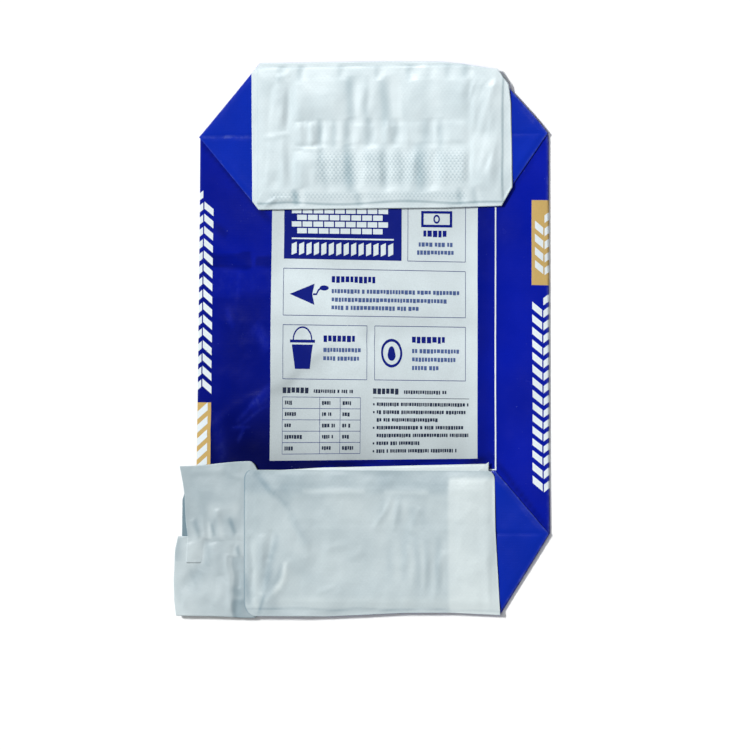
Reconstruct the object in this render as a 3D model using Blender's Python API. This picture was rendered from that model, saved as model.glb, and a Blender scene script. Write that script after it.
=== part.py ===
"""Empty block-bottom valve bag for a dry powder such as cement, folded flat.

The bag is a flattened tube of film-coated woven fabric. Each end is folded over
onto the upper side as a flat hexagon: a pocket in each corner, flaps that meet
between the pockets, and a white patch welded over them. One end also has a wide
flat filling sleeve, which comes out past the side edge. The bag lies on its
back: +Z is up, +Y runs along the bag towards the plain end, and the origin is
the middle of the underside. All lengths are in metres.
"""

import math

import bmesh
import bpy
from mathutils import Vector

# The bag, laid flat
BAG_WIDTH = 0.450
BAG_LENGTH = 0.520
BOTTOM_WIDTH = 0.137
HALF_WIDTH = BAG_WIDTH / 2
HALF_LENGTH = BAG_LENGTH / 2

# The two ends, each as the fold lines lie on the bag. The corner is where the
# mid line of the hexagon meets the side edge, and the fold at the sleeve end
# was made a little askew.
PLAIN_FOLD = HALF_LENGTH
PLAIN_CORNER = PLAIN_FOLD - BOTTOM_WIDTH / 2
PLAIN_INNER = PLAIN_FOLD - BOTTOM_WIDTH
PLAIN_FOLD_ENDS = (-0.146, 0.156)
VALVE_FOLD = -HALF_LENGTH
VALVE_CORNER = -0.184
VALVE_INNER = -0.124
VALVE_FOLD_ENDS = (-0.151, 0.162)
INNER_FOLD_END = HALF_WIDTH - BOTTOM_WIDTH / 2

# Heights of the folded layers, with the air that an empty bag keeps in them
TUBE_TOP = 0.0020
OUTER_POCKET_TOP = 0.0024
POCKET_TOP = 0.0029
FLAP_TOP = 0.0047
LAYER_OVERLAP = 0.0008
FOLD_RADIUS = 0.0008
LAYER_SETBACK = 0.0006
FACE_GAP = 0.0003

# The flaps under each patch, as the block of layers that they make
FLAP_MARGIN = 0.004
PLAIN_FLAP_SPAN = (-0.146, 0.164)
VALVE_FLAP_SPAN = (-0.078, 0.148)

# The cover patches
PATCH_THICKNESS = 0.0008
PATCH_BOTTOM = FLAP_TOP + FACE_GAP
PATCH_TOP = PATCH_BOTTOM + PATCH_THICKNESS
PATCH_EDGE_RADIUS = 0.0003
CORNER_RADIUS = 0.011

# Pillows that the weld leaves in the plain end's patch: centre, size, height
PILLOW_HEIGHT = 0.0016
PILLOW_RADIUS = 0.0012
PILLOW_SINK = 0.0004
PILLOW_ROWS = {
    "upper": ((0.006, 0.224), (0.226, 0.034)),
    "middle": ((0.006, 0.192), (0.220, 0.016)),
    "lower": ((0.006, 0.160), (0.226, 0.032)),
    "upper_left": ((-0.122, 0.218), (0.024, 0.046)),
    "lower_left": ((-0.122, 0.160), (0.024, 0.048)),
    "upper_right": ((0.140, 0.216), (0.030, 0.046)),
    "lower_right": ((0.140, 0.160), (0.032, 0.044)),
}

# The filling sleeve: a flat tube whose upper side is two flaps that overlap
SLEEVE_PLY = 0.0004
SLEEVE_BOTTOM = POCKET_TOP + FACE_GAP
SLEEVE_HOLLOW = 0.0003
SLEEVE_FOLD = 0.0016
SLEEVE_INNER_END = -0.080
SLEEVE_SHOULDER = -0.158
SLEEVE_BACK_CORNER = -0.150
SLEEVE_TOP_Y = -0.123
SLEEVE_SHOULDER_Y = -0.118
SLEEVE_LOW_Y = -0.266
SEAM_TOP_Y = -0.189
SEAM_LOW_Y = -0.215
LOWER_LIP_X = -0.257
UPPER_LIP_X = -0.249
MOUTH_WAIST_X = -0.241
UNDER_LIP_X = -0.246

PRINT_BLUE = (0.006, 0.016, 0.30)
PATCH_WHITE = (0.78, 0.82, 0.84)
SLEEVE_WHITE = (0.60, 0.66, 0.69)


def clear_scene():
    """Remove whatever the file holds when the script starts."""
    for old in list(bpy.data.objects):
        bpy.data.objects.remove(old, do_unlink=True)


def material(name, colour, roughness):
    """Make a Principled material."""
    made = bpy.data.materials.new(name)
    made.use_nodes = True
    shader = made.node_tree.nodes["Principled BSDF"]
    shader.inputs["Base Color"].default_value = (*colour, 1.0)
    shader.inputs["Roughness"].default_value = roughness
    shader.inputs["Metallic"].default_value = 0.0
    made.diffuse_color = (*colour, 1.0)
    return made


def prism(name, outline, bottom, top, radius=0.0, segments=2):
    """Extrude a flat outline from bottom to top and round its rims."""
    mesh = bpy.data.meshes.new(name)
    shape = bmesh.new()
    base = shape.faces.new([shape.verts.new((x, y, bottom)) for x, y in outline])
    lifted = bmesh.ops.extrude_face_region(shape, geom=[base])["geom"]
    risen = [item for item in lifted if isinstance(item, bmesh.types.BMVert)]
    bmesh.ops.translate(shape, verts=risen, vec=(0.0, 0.0, top - bottom))
    bmesh.ops.recalc_face_normals(shape, faces=shape.faces)
    if radius:
        rims = [
            edge
            for edge in shape.edges
            if abs(edge.verts[0].co.z - edge.verts[1].co.z) < radius / 10
        ]
        bmesh.ops.bevel(
            shape,
            geom=rims,
            offset=radius,
            offset_type="OFFSET",
            segments=segments,
            profile=0.5,
            affect="EDGES",
        )
    shape.to_mesh(mesh)
    shape.free()
    made = bpy.data.objects.new(name, mesh)
    bpy.context.scene.collection.objects.link(made)
    return made


def unite(target, additions):
    """Join the additions to the target with exact Boolean unions."""
    for added in additions:
        added.hide_render = True
        added.display_type = "WIRE"
        join = target.modifiers.new(added.name, "BOOLEAN")
        join.operation = "UNION"
        join.solver = "EXACT"
        join.object = added


def rounded(corners, radius, steps=4):
    """Return the outline with every corner cut to an arc of the radius."""
    points = []
    count = len(corners)
    for index, (x, y) in enumerate(corners):
        here = Vector((x, y))
        before = (Vector(corners[index - 1]) - here).normalized()
        after = (Vector(corners[(index + 1) % count]) - here).normalized()
        half_angle = before.angle(after) / 2
        reach = radius / math.tan(half_angle)
        centre = here + (before + after).normalized() * radius / math.sin(half_angle)
        start = here + before * reach - centre
        end = here + after * reach - centre
        for step in range(steps + 1):
            share = step / steps
            arm = start.lerp(end, share).normalized() * radius
            points.append(tuple(centre + arm))
    return points


def end_layers(name, outer, corner, inner, fold_ends, flap_span):
    """Make the folded layers of one end: two pocket layers and the flaps."""
    way = math.copysign(1.0, outer)
    edge = HALF_WIDTH - LAYER_SETBACK
    left, right = fold_ends
    folded = prism(
        name + "_inner_pocket_layer",
        [
            (-INNER_FOLD_END, inner),
            (INNER_FOLD_END, inner),
            (edge, corner),
            (-edge, corner),
        ],
        TUBE_TOP - LAYER_OVERLAP,
        POCKET_TOP,
        FOLD_RADIUS / 2,
    )
    outer_layer = prism(
        name + "_outer_pocket_layer",
        [
            (-edge, corner - way * LAYER_SETBACK),
            (edge, corner - way * LAYER_SETBACK),
            (right, outer - way * LAYER_SETBACK),
            (left, outer - way * LAYER_SETBACK),
        ],
        TUBE_TOP - LAYER_OVERLAP,
        OUTER_POCKET_TOP,
        FOLD_RADIUS / 4,
    )
    flaps = prism(
        name + "_flaps",
        [
            (flap_span[0], inner + way * FLAP_MARGIN),
            (flap_span[1], inner + way * FLAP_MARGIN),
            (flap_span[1] - FLAP_MARGIN, outer - way * FLAP_MARGIN),
            (flap_span[0], outer - way * FLAP_MARGIN),
        ],
        TUBE_TOP - LAYER_OVERLAP,
        FLAP_TOP,
        FOLD_RADIUS / 2,
    )
    return [folded, outer_layer, flaps]


def bag_body():
    """Make the tube with both of its folded ends as one solid."""
    outline = [
        (-HALF_WIDTH, VALVE_CORNER),
        (VALVE_FOLD_ENDS[0], VALVE_FOLD),
        (VALVE_FOLD_ENDS[1], VALVE_FOLD),
        (HALF_WIDTH, VALVE_CORNER),
        (HALF_WIDTH, PLAIN_CORNER),
        (PLAIN_FOLD_ENDS[1], PLAIN_FOLD),
        (PLAIN_FOLD_ENDS[0], PLAIN_FOLD),
        (-HALF_WIDTH, PLAIN_CORNER),
    ]
    body = prism("bag_body", outline, 0.0, TUBE_TOP, FOLD_RADIUS)
    unite(
        body,
        end_layers(
            "plain_end", PLAIN_FOLD, PLAIN_CORNER, PLAIN_INNER, PLAIN_FOLD_ENDS, PLAIN_FLAP_SPAN
        )
        + end_layers(
            "valve_end", VALVE_FOLD, VALVE_CORNER, VALVE_INNER, VALVE_FOLD_ENDS, VALVE_FLAP_SPAN
        ),
    )
    body.data.materials.append(material("printed_film", PRINT_BLUE, 0.28))


def pillow(name, centre, size):
    """Make one raised pad of the weld pattern."""
    (x, y), (width, height) = centre, size
    corners = [
        (x - width / 2, y - height / 2),
        (x + width / 2, y - height / 2),
        (x + width / 2, y + height / 2),
        (x - width / 2, y + height / 2),
    ]
    return prism(
        name + "_pillow",
        rounded(corners, PILLOW_RADIUS * 3, 3),
        PATCH_TOP - PILLOW_SINK,
        PATCH_TOP + PILLOW_HEIGHT,
        PILLOW_RADIUS / 4,
    )


def top_cover_patch():
    """Make the patch of the plain end, with chamfered lower corners and pillows."""
    outline = [
        (-0.144, 0.1225),
        (0.1635, 0.1230),
        (0.178, 0.139),
        (0.172, 0.236),
        (0.157, 0.252),
        (0.098, 0.2585),
        (-0.145, 0.2595),
        (-0.1575, 0.249),
        (-0.156, 0.1375),
    ]
    patch = prism("top_cover_patch", outline, PATCH_BOTTOM, PATCH_TOP, PATCH_EDGE_RADIUS, 1)
    unite(patch, [pillow(name, *place) for name, place in PILLOW_ROWS.items()])
    patch.data.materials.append(material("coated_weave", PATCH_WHITE, 0.5))


def bottom_cover_patch():
    """Make the patch of the sleeve end, with rounded corners."""
    corners = [
        (-0.169, -0.261),
        (0.1615, -0.260),
        (0.1555, -0.1255),
        (-0.168, -0.1250),
    ]
    patch = prism(
        "bottom_cover_patch",
        rounded(corners, CORNER_RADIUS),
        PATCH_BOTTOM,
        PATCH_TOP,
        PATCH_EDGE_RADIUS,
        1,
    )
    patch.data.materials.append(material("smooth_patch", SLEEVE_WHITE, 0.55))


def valve_sleeve():
    """Make the flat filling sleeve, open at both ends."""
    under_top = SLEEVE_BOTTOM + SLEEVE_PLY
    upper_bottom = under_top + SLEEVE_HOLLOW
    upper_top = upper_bottom + SLEEVE_PLY
    seam_top = upper_top + SLEEVE_PLY
    sunk = SLEEVE_PLY / 4
    under = prism(
        "valve_sleeve",
        [
            (UNDER_LIP_X, SLEEVE_TOP_Y),
            (UNDER_LIP_X, SEAM_TOP_Y),
            (LOWER_LIP_X + SLEEVE_PLY, SLEEVE_LOW_Y),
            (SLEEVE_BACK_CORNER, SLEEVE_LOW_Y),
            (SLEEVE_INNER_END, VALVE_FOLD),
            (SLEEVE_INNER_END, VALVE_INNER),
            (SLEEVE_BACK_CORNER, VALVE_INNER),
            (SLEEVE_SHOULDER, SLEEVE_SHOULDER_Y),
        ],
        SLEEVE_BOTTOM,
        under_top,
    )
    upper_flap = prism(
        "sleeve_upper_flap",
        [
            (UPPER_LIP_X, SLEEVE_TOP_Y),
            (MOUTH_WAIST_X, SEAM_TOP_Y),
            (MOUTH_WAIST_X, SEAM_TOP_Y - SLEEVE_FOLD),
            (SLEEVE_INNER_END, SEAM_TOP_Y - SLEEVE_FOLD),
            (SLEEVE_INNER_END, VALVE_INNER),
            (SLEEVE_BACK_CORNER, VALVE_INNER),
            (SLEEVE_SHOULDER, SLEEVE_SHOULDER_Y),
        ],
        upper_bottom,
        upper_top,
    )
    lower_flap = prism(
        "sleeve_lower_flap",
        [
            (LOWER_LIP_X + SLEEVE_FOLD, SEAM_TOP_Y),
            (LOWER_LIP_X, (SEAM_TOP_Y + SLEEVE_LOW_Y) / 2),
            (LOWER_LIP_X + SLEEVE_PLY, SLEEVE_LOW_Y),
            (SLEEVE_BACK_CORNER, SLEEVE_LOW_Y),
            (SLEEVE_INNER_END, VALVE_FOLD),
            (SLEEVE_INNER_END, SEAM_TOP_Y),
        ],
        upper_bottom,
        upper_top,
    )
    seam = prism(
        "sleeve_seam",
        [
            (MOUTH_WAIST_X, SEAM_TOP_Y + SLEEVE_FOLD),
            (MOUTH_WAIST_X, SEAM_LOW_Y),
            (SLEEVE_INNER_END, SEAM_LOW_Y),
            (SLEEVE_INNER_END, SEAM_TOP_Y + SLEEVE_FOLD),
        ],
        upper_top - sunk,
        seam_top - sunk,
    )
    upper_fold = prism(
        "sleeve_upper_fold",
        [
            (UNDER_LIP_X, SLEEVE_TOP_Y),
            (UNDER_LIP_X, SLEEVE_TOP_Y - SLEEVE_FOLD),
            (SLEEVE_SHOULDER, SLEEVE_SHOULDER_Y - SLEEVE_FOLD),
            (SLEEVE_BACK_CORNER, VALVE_INNER - SLEEVE_FOLD),
            (SLEEVE_INNER_END, VALVE_INNER - SLEEVE_FOLD),
            (SLEEVE_INNER_END, VALVE_INNER),
            (SLEEVE_BACK_CORNER, VALVE_INNER),
            (SLEEVE_SHOULDER, SLEEVE_SHOULDER_Y),
        ],
        SLEEVE_BOTTOM + sunk,
        upper_top - sunk,
    )
    lower_fold = prism(
        "sleeve_lower_fold",
        [
            (LOWER_LIP_X + SLEEVE_FOLD, SLEEVE_LOW_Y),
            (SLEEVE_BACK_CORNER, SLEEVE_LOW_Y),
            (SLEEVE_INNER_END, VALVE_FOLD),
            (SLEEVE_INNER_END, VALVE_FOLD + SLEEVE_FOLD),
            (SLEEVE_BACK_CORNER, SLEEVE_LOW_Y + SLEEVE_FOLD),
            (LOWER_LIP_X + SLEEVE_FOLD, SLEEVE_LOW_Y + SLEEVE_FOLD),
        ],
        SLEEVE_BOTTOM + sunk,
        upper_top - sunk,
    )
    unite(under, [upper_flap, lower_flap, seam, upper_fold, lower_fold])
    under.data.materials.append(material("sleeve_sheet", SLEEVE_WHITE, 0.5))


def main():
    clear_scene()
    bag_body()
    top_cover_patch()
    bottom_cover_patch()
    valve_sleeve()


main()
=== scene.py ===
"""Looks of an empty block-bottom valve bag that lies folded flat.

The bag is a tube of film-coated woven fabric, printed blue with a white panel.
Both ends are folded over onto the upper side as flat hexagons and carry a white
patch, and a wide flat filling sleeve comes out at the left of one end. Lengths
are in metres, +Z is up and +Y runs along the bag. Numbers written in mm are
turned into metres by the MM factor or by a function that says so.

The photograph shows the bag from straight above, but squeezed from side to side
to 0.74 of its width. So the camera looks at the flat bag from 47.5 degrees over
its right side, which squeezes it by the same amount.
"""

import math

import bpy
import numpy as np
from bpy.props import FloatProperty, FloatVectorProperty, PointerProperty
from mathutils import Matrix, Vector


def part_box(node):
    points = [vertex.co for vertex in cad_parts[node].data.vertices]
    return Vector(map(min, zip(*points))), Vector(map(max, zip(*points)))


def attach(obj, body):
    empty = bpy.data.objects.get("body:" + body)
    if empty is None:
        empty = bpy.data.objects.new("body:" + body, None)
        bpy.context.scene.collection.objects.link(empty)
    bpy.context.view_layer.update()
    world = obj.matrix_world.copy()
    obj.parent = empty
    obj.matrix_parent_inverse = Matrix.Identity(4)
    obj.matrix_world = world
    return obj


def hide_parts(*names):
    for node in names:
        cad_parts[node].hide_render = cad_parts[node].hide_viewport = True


bl_info = {
    "name": "Folded valve bag",
    "version": (1, 0, 0),
    "blender": (4, 5, 0),
    "location": "3D View > Sidebar > Valve bag",
    "description": "Builds the surfaces, print and fabrics of an empty block-bottom valve bag",
    "category": "Object",
}

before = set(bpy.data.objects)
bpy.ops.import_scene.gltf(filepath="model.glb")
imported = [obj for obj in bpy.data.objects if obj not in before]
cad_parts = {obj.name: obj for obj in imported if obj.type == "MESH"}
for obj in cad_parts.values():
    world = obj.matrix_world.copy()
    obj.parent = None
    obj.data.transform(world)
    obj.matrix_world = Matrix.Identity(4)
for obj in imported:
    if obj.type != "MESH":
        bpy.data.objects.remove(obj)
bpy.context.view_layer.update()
BODY_LOW, BODY_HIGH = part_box("bag_body")

MM = 0.001
BODY = "root"

BAG_WIDTH = BODY_HIGH.x - BODY_LOW.x
BAG_LENGTH = BODY_HIGH.y - BODY_LOW.y
HALF_WIDTH = BAG_WIDTH / 2
HALF_LENGTH = BAG_LENGTH / 2


# Numbers on arrays


def smooth_step(low, high, value):
    """Rise smoothly from 0 at low to 1 at high: t squared times three minus two t."""
    t = np.clip((value - low) / (high - low), 0.0, 1.0)
    return t * t * (3.0 - 2.0 * t)


def window(value, low, high, soft):
    """Be 1 between low and high and fall smoothly to 0 over soft on both sides."""
    return smooth_step(low - soft, low + soft, value) * smooth_step(-high - soft, -high + soft, -value)


def box_window(x, y, box, soft):
    """Be 1 inside the box (left, right, low, high), all in mm, with soft edges."""
    left, right, low, high = box
    return window(x / MM, left, right, soft) * window(y / MM, low, high, soft)


def lattice_noise(x, y, cell, seed):
    """Blend random heights of -1 to 1 on a square lattice with quintic weights."""
    size = 128
    heights = np.random.default_rng(seed).uniform(-1.0, 1.0, (size, size))
    u, v = np.asarray(x) / cell + 41.3, np.asarray(y) / cell + 57.9
    column, row = np.floor(u).astype(int), np.floor(v).astype(int)
    u, v = u - column, v - row
    u = u**3 * (u * (u * 6.0 - 15.0) + 10.0)
    v = v**3 * (v * (v * 6.0 - 15.0) + 10.0)
    lower = heights[row % size, column % size] * (1.0 - u)
    lower = lower + heights[row % size, (column + 1) % size] * u
    upper = heights[(row + 1) % size, column % size] * (1.0 - u)
    upper = upper + heights[(row + 1) % size, (column + 1) % size] * u
    return lower * (1.0 - v) + upper * v


def layered_noise(x, y, cell, seed, layers=2):
    """Sum noise of halving cell size and weight."""
    total = np.zeros(np.broadcast(x, y).shape)
    for layer in range(layers):
        total = total + lattice_noise(x, y, cell / 2**layer, seed + layer) / 2**layer
    return total


def crumple(x, y, cell, seed):
    """Sharp crests between flat facets: one less the size of the noise, cubed."""
    folds = 1.0 - np.abs(lattice_noise(x, y, cell, seed))
    folds = folds + 0.5 * (1.0 - np.abs(lattice_noise(x, y, cell * 0.55, seed + 1)))
    return (folds / 1.5) ** 3


def ridges(x, y, runs, taper=0.5):
    """Sum ridges along wavering runs: (start, end, half width, height) in mm.

    Across, a ridge is bell-shaped. Along, it rises from one end and falls to the
    other, more slowly the greater the taper is.
    """
    total = np.zeros(np.broadcast(x, y).shape)
    x_mm = x / MM + 1.6 * lattice_noise(x, y, 0.018, 211)
    y_mm = y / MM + 1.6 * lattice_noise(x, y, 0.018, 223)
    for (x0, y0), (x1, y1), width, height in runs:
        along_x, along_y = x1 - x0, y1 - y0
        share = ((x_mm - x0) * along_x + (y_mm - y0) * along_y) / (along_x**2 + along_y**2)
        share = np.clip(share, 0.0, 1.0)
        distance = np.hypot(x_mm - x0 - share * along_x, y_mm - y0 - share * along_y)
        fade = (4.0 * share * (1.0 - share)) ** taper
        total = total + height * MM * np.exp(-((distance / width) ** 2)) * fade
    return total


def soft_boxes(x, y, boxes):
    """Sum soft-edged boxes: (left, right, low, high) and softness in mm, and height."""
    return sum(height * box_window(x, y, box, soft) for box, soft, height in boxes)


def curve(pairs, value):
    """Read a broken line of (place, height) pairs in mm at places in metres."""
    places, heights = zip(*pairs)
    return np.interp(value / MM, places, heights) * MM


# Meshes from arrays


def add_object(name, data):
    """Put a new object with this data into the scene."""
    made = bpy.data.objects.new(name, data)
    bpy.context.scene.collection.objects.link(made)
    return made


def mesh_object(name, points, quads, slots=None):
    """Put points and four-sided faces into a new smooth mesh object."""
    mesh = bpy.data.meshes.new(name)
    points = np.asarray(points, dtype=np.float32).reshape(-1, 3)
    quads = np.asarray(quads, dtype=np.int32).reshape(-1, 4)
    mesh.vertices.add(len(points))
    mesh.vertices.foreach_set("co", points.ravel())
    mesh.loops.add(quads.size)
    mesh.loops.foreach_set("vertex_index", quads.ravel())
    mesh.polygons.add(len(quads))
    mesh.polygons.foreach_set("loop_start", np.arange(0, quads.size, 4, dtype=np.int32))
    if slots is not None:
        mesh.polygons.foreach_set("material_index", np.asarray(slots, dtype=np.int32))
    mesh.update(calc_edges=True)
    mesh.validate()
    mesh.shade_smooth()
    return add_object(name, mesh)


def grid_quads(index):
    """Return the faces of a grid of vertex numbers, facing up for rows along +Y."""
    corners = (index[:-1, :-1], index[:-1, 1:], index[1:, 1:], index[1:, :-1])
    return np.stack(corners, axis=-1).reshape(-1, 4)


def add_values(made, name, values):
    """Store one number for each vertex as an attribute."""
    layer = made.data.attributes.new(name, "FLOAT", "POINT")
    layer.data.foreach_set("value", np.asarray(values, dtype=np.float32).ravel())


def edge_spaced(low, high, step, radius, extra=()):
    """Space places evenly, closer within the rounded rim, and add the extra ones."""
    rim = radius * (1.0 - np.cos(np.linspace(0.0, math.pi / 2, 5)))[:-1]
    count = max(2, int(round((high - low - 2 * radius) / step)))
    inner = np.linspace(low + radius, high - radius, count + 1)
    places = np.concatenate([low + rim, inner, high - rim, np.asarray(extra, dtype=float)])
    places = np.sort(places)
    kept = np.concatenate([[True], np.diff(places) > step * 0.04])
    return places[kept]


def rim_round(distance, radius):
    """Height share of a quarter circle at this distance in from the rim."""
    inward = 1.0 - np.clip(distance / radius, 0.0, 1.0)
    return np.sqrt(np.clip(1.0 - inward**2, 0.0, 1.0))


def closed_shell(name, x, y, top, bottom, values=(), slots=None):
    """Join an upper and a lower surface over one grid along their common rim.

    The values are (attribute, grid) pairs, and both surfaces get them.
    """
    rows, columns = x.shape
    upper = np.arange(rows * columns).reshape(rows, columns)
    lower = upper.copy()
    inner = np.arange((rows - 2) * (columns - 2)).reshape(rows - 2, columns - 2)
    lower[1:-1, 1:-1] = rows * columns + inner
    above = np.stack([x, y, top], axis=-1)
    below = np.stack([x, y, bottom], axis=-1)[1:-1, 1:-1]
    points = np.concatenate([above.reshape(-1, 3), below.reshape(-1, 3)])
    quads = np.concatenate([grid_quads(upper), grid_quads(lower)[:, ::-1]])
    if slots is not None:
        slots = np.concatenate([slots.ravel(), np.zeros(slots.size, dtype=int)])
    made = mesh_object(name, points, quads, slots)
    for label, grid in values:
        add_values(made, label, np.concatenate([grid.ravel(), grid[1:-1, 1:-1].ravel()]))
    return made


def open_sheet(name, x, y, z, thickness, values=()):
    """Make a sheet from its upper surface, with its thickness below it."""
    index = np.arange(x.size).reshape(x.shape)
    made = mesh_object(name, np.stack([x, y, z], axis=-1), grid_quads(index))
    for label, grid in values:
        add_values(made, label, np.broadcast_to(grid, x.shape))
    wall = made.modifiers.new("thickness", "SOLIDIFY")
    wall.thickness = thickness
    wall.offset = -1.0
    wall.use_rim = True
    return made


# Shader building blocks


def add_node(tree, kind, values=None, **settings):
    """Add a node, set its properties and its inputs' values."""
    node = tree.nodes.new(kind)
    for name, value in settings.items():
        setattr(node, name, value)
    for name, value in (values or {}).items():
        node.inputs[name].default_value = value
    return node


def maths(tree, operation, *items):
    """Add a Math node whose inputs are sockets or numbers, and return its output."""
    node = add_node(tree, "ShaderNodeMath", operation=operation)
    for place, item in enumerate(items):
        if isinstance(item, (int, float)):
            node.inputs[place].default_value = item
        else:
            tree.links.new(item, node.inputs[place])
    return node.outputs[0]


def product_of(tree, first, *others):
    """Multiply sockets and numbers in turn."""
    for other in others:
        first = maths(tree, "MULTIPLY", first, other)
    return first


def sum_of(tree, first, *others):
    """Add sockets and numbers in turn."""
    for other in others:
        first = maths(tree, "ADD", first, other)
    return first


def spread(tree, value, low, high, new_low=0.0, new_high=1.0):
    """Map a value from one range to another, held within it."""
    ranges = {"From Min": low, "From Max": high, "To Min": new_low, "To Max": new_high}
    node = add_node(tree, "ShaderNodeMapRange", ranges)
    tree.links.new(value, node.inputs["Value"])
    return node.outputs["Result"]


def scaled(tree, colour, factor):
    """Multiply a colour socket by a value socket."""
    node = add_node(tree, "ShaderNodeVectorMath", operation="SCALE")
    tree.links.new(colour, node.inputs[0])
    tree.links.new(factor, node.inputs["Scale"])
    return node.outputs[0]


def blend_colours(tree, share, first, second):
    """Mix two colour sockets by a share socket."""
    node = add_node(tree, "ShaderNodeMix", data_type="RGBA")
    tree.links.new(share, node.inputs["Factor"])
    first_in, second_in = [socket for socket in node.inputs if socket.type == "RGBA"]
    tree.links.new(first, first_in)
    tree.links.new(second, second_in)
    return next(socket for socket in node.outputs if socket.type == "RGBA")


def noise(tree, vector, scale, detail=3.0, roughness=0.5):
    """Add a noise texture and return its value."""
    values = {"Scale": scale, "Detail": detail, "Roughness": roughness}
    node = add_node(tree, "ShaderNodeTexNoise", values)
    tree.links.new(vector, node.inputs["Vector"])
    return node.outputs[0]


def use_group(tree, group, vector):
    """Place an effect group and feed its Vector input."""
    node = tree.nodes.new("ShaderNodeGroup")
    node.node_tree = group
    tree.links.new(vector, node.inputs["Vector"])
    return node


def new_group(name, inputs, outputs):
    """Start a shader node group and return its tree, inputs and output node."""
    tree = bpy.data.node_groups.new(name, "ShaderNodeTree")
    kinds = {"value": "NodeSocketFloat", "colour": "NodeSocketColor", "vector": "NodeSocketVector"}
    for label, kind, value in inputs:
        socket = tree.interface.new_socket(label, in_out="INPUT", socket_type=kinds[kind])
        if value is not None:
            socket.default_value = value
    for label, kind in outputs:
        tree.interface.new_socket(label, in_out="OUTPUT", socket_type=kinds[kind])
    given, out = tree.nodes.new("NodeGroupInput"), tree.nodes.new("NodeGroupOutput")
    return tree, given.outputs, out.inputs


TAPE_PITCH = 2.54 * MM
FINISH_OUTPUTS = (("Colour", "colour"), ("Roughness", "value"), ("Height", "value"))


def weave_group():
    """Plain weave of flat tapes: crowned squares that change direction in turn."""
    name = "plain_weave"
    if name in bpy.data.node_groups:
        return bpy.data.node_groups[name]
    inputs = (("Vector", "vector", None), ("Pitch", "value", TAPE_PITCH))
    tree, given, out = new_group(name, inputs, (("Height", "value"), ("Checker", "value")))
    parts = add_node(tree, "ShaderNodeSeparateXYZ")
    tree.links.new(given["Vector"], parts.inputs[0])
    turn = maths(tree, "DIVIDE", math.pi, given["Pitch"])
    waves = [maths(tree, "SINE", product_of(tree, parts.outputs[axis], turn)) for axis in "XY"]
    checker = spread(tree, product_of(tree, *waves), -0.35, 0.35)
    crowns = [maths(tree, "POWER", maths(tree, "ABSOLUTE", wave), 0.6) for wave in waves]
    first = product_of(tree, crowns[0], checker)
    second = product_of(tree, crowns[1], maths(tree, "SUBTRACT", 1.0, checker))
    tree.links.new(sum_of(tree, first, second), out["Height"])
    tree.links.new(checker, out["Checker"])
    return tree


def film_group():
    """Printed film: ink density and painted shade, mottling, worn folds and painted sheen, smears and a
    faint weave.
    """
    name = "printed_film"
    if name in bpy.data.node_groups:
        return bpy.data.node_groups[name]
    inputs = (
        ("Vector", "vector", None),
        ("Colour", "colour", (0.1, 0.1, 0.8, 1.0)),
        ("Wear colour", "colour", (0.30, 0.38, 0.75, 1.0)),
        ("Wear_and_sheen", "value", 0.0),
        ("Ink", "value", 0.0),
    )
    tree, given, out = new_group(name, inputs, FINISH_OUTPUTS)
    vector = given["Vector"]
    cloud = spread(tree, noise(tree, vector, 9.0), 0.3, 0.7, 0.90, 1.10)
    grain = spread(tree, noise(tree, vector, 900.0, 2.0), 0.3, 0.7, 0.95, 1.05)
    # The ink value scales the colour: print density with painted shade and painted reflections in it
    density = sum_of(tree, 1.0, given["Ink"])
    tinted = scaled(tree, given["Colour"], product_of(tree, cloud, grain, density))
    breaks = spread(tree, noise(tree, vector, 130.0, 4.0, 0.7), 0.46, 0.66, 0.25, 1.0)
    # This value mixes in the pale colour: pale lines along the folds, part wear and part painted
    # highlight, and painted reflections
    wear_and_sheen = product_of(tree, given["Wear_and_sheen"], breaks)
    speck = spread(tree, noise(tree, vector, 420.0, 2.0, 0.8), 0.745, 0.79, 0.0, 0.35)
    worn_and_sheen = maths(tree, "MAXIMUM", wear_and_sheen, speck)
    smear = spread(tree, noise(tree, vector, 14.0, 4.0, 0.6), 0.3, 0.7, 0.16, 0.28)
    weave = use_group(tree, weave_group(), vector)
    ghost = product_of(tree, weave.outputs["Height"], 0.10)
    pucker = product_of(tree, noise(tree, vector, 60.0, 3.0, 0.55), 0.9)
    tree.links.new(blend_colours(tree, worn_and_sheen, tinted, given["Wear colour"]), out["Colour"])
    tree.links.new(sum_of(tree, smear, product_of(tree, worn_and_sheen, 0.25)), out["Roughness"])
    tree.links.new(sum_of(tree, ghost, pucker), out["Height"])
    return tree


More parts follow.
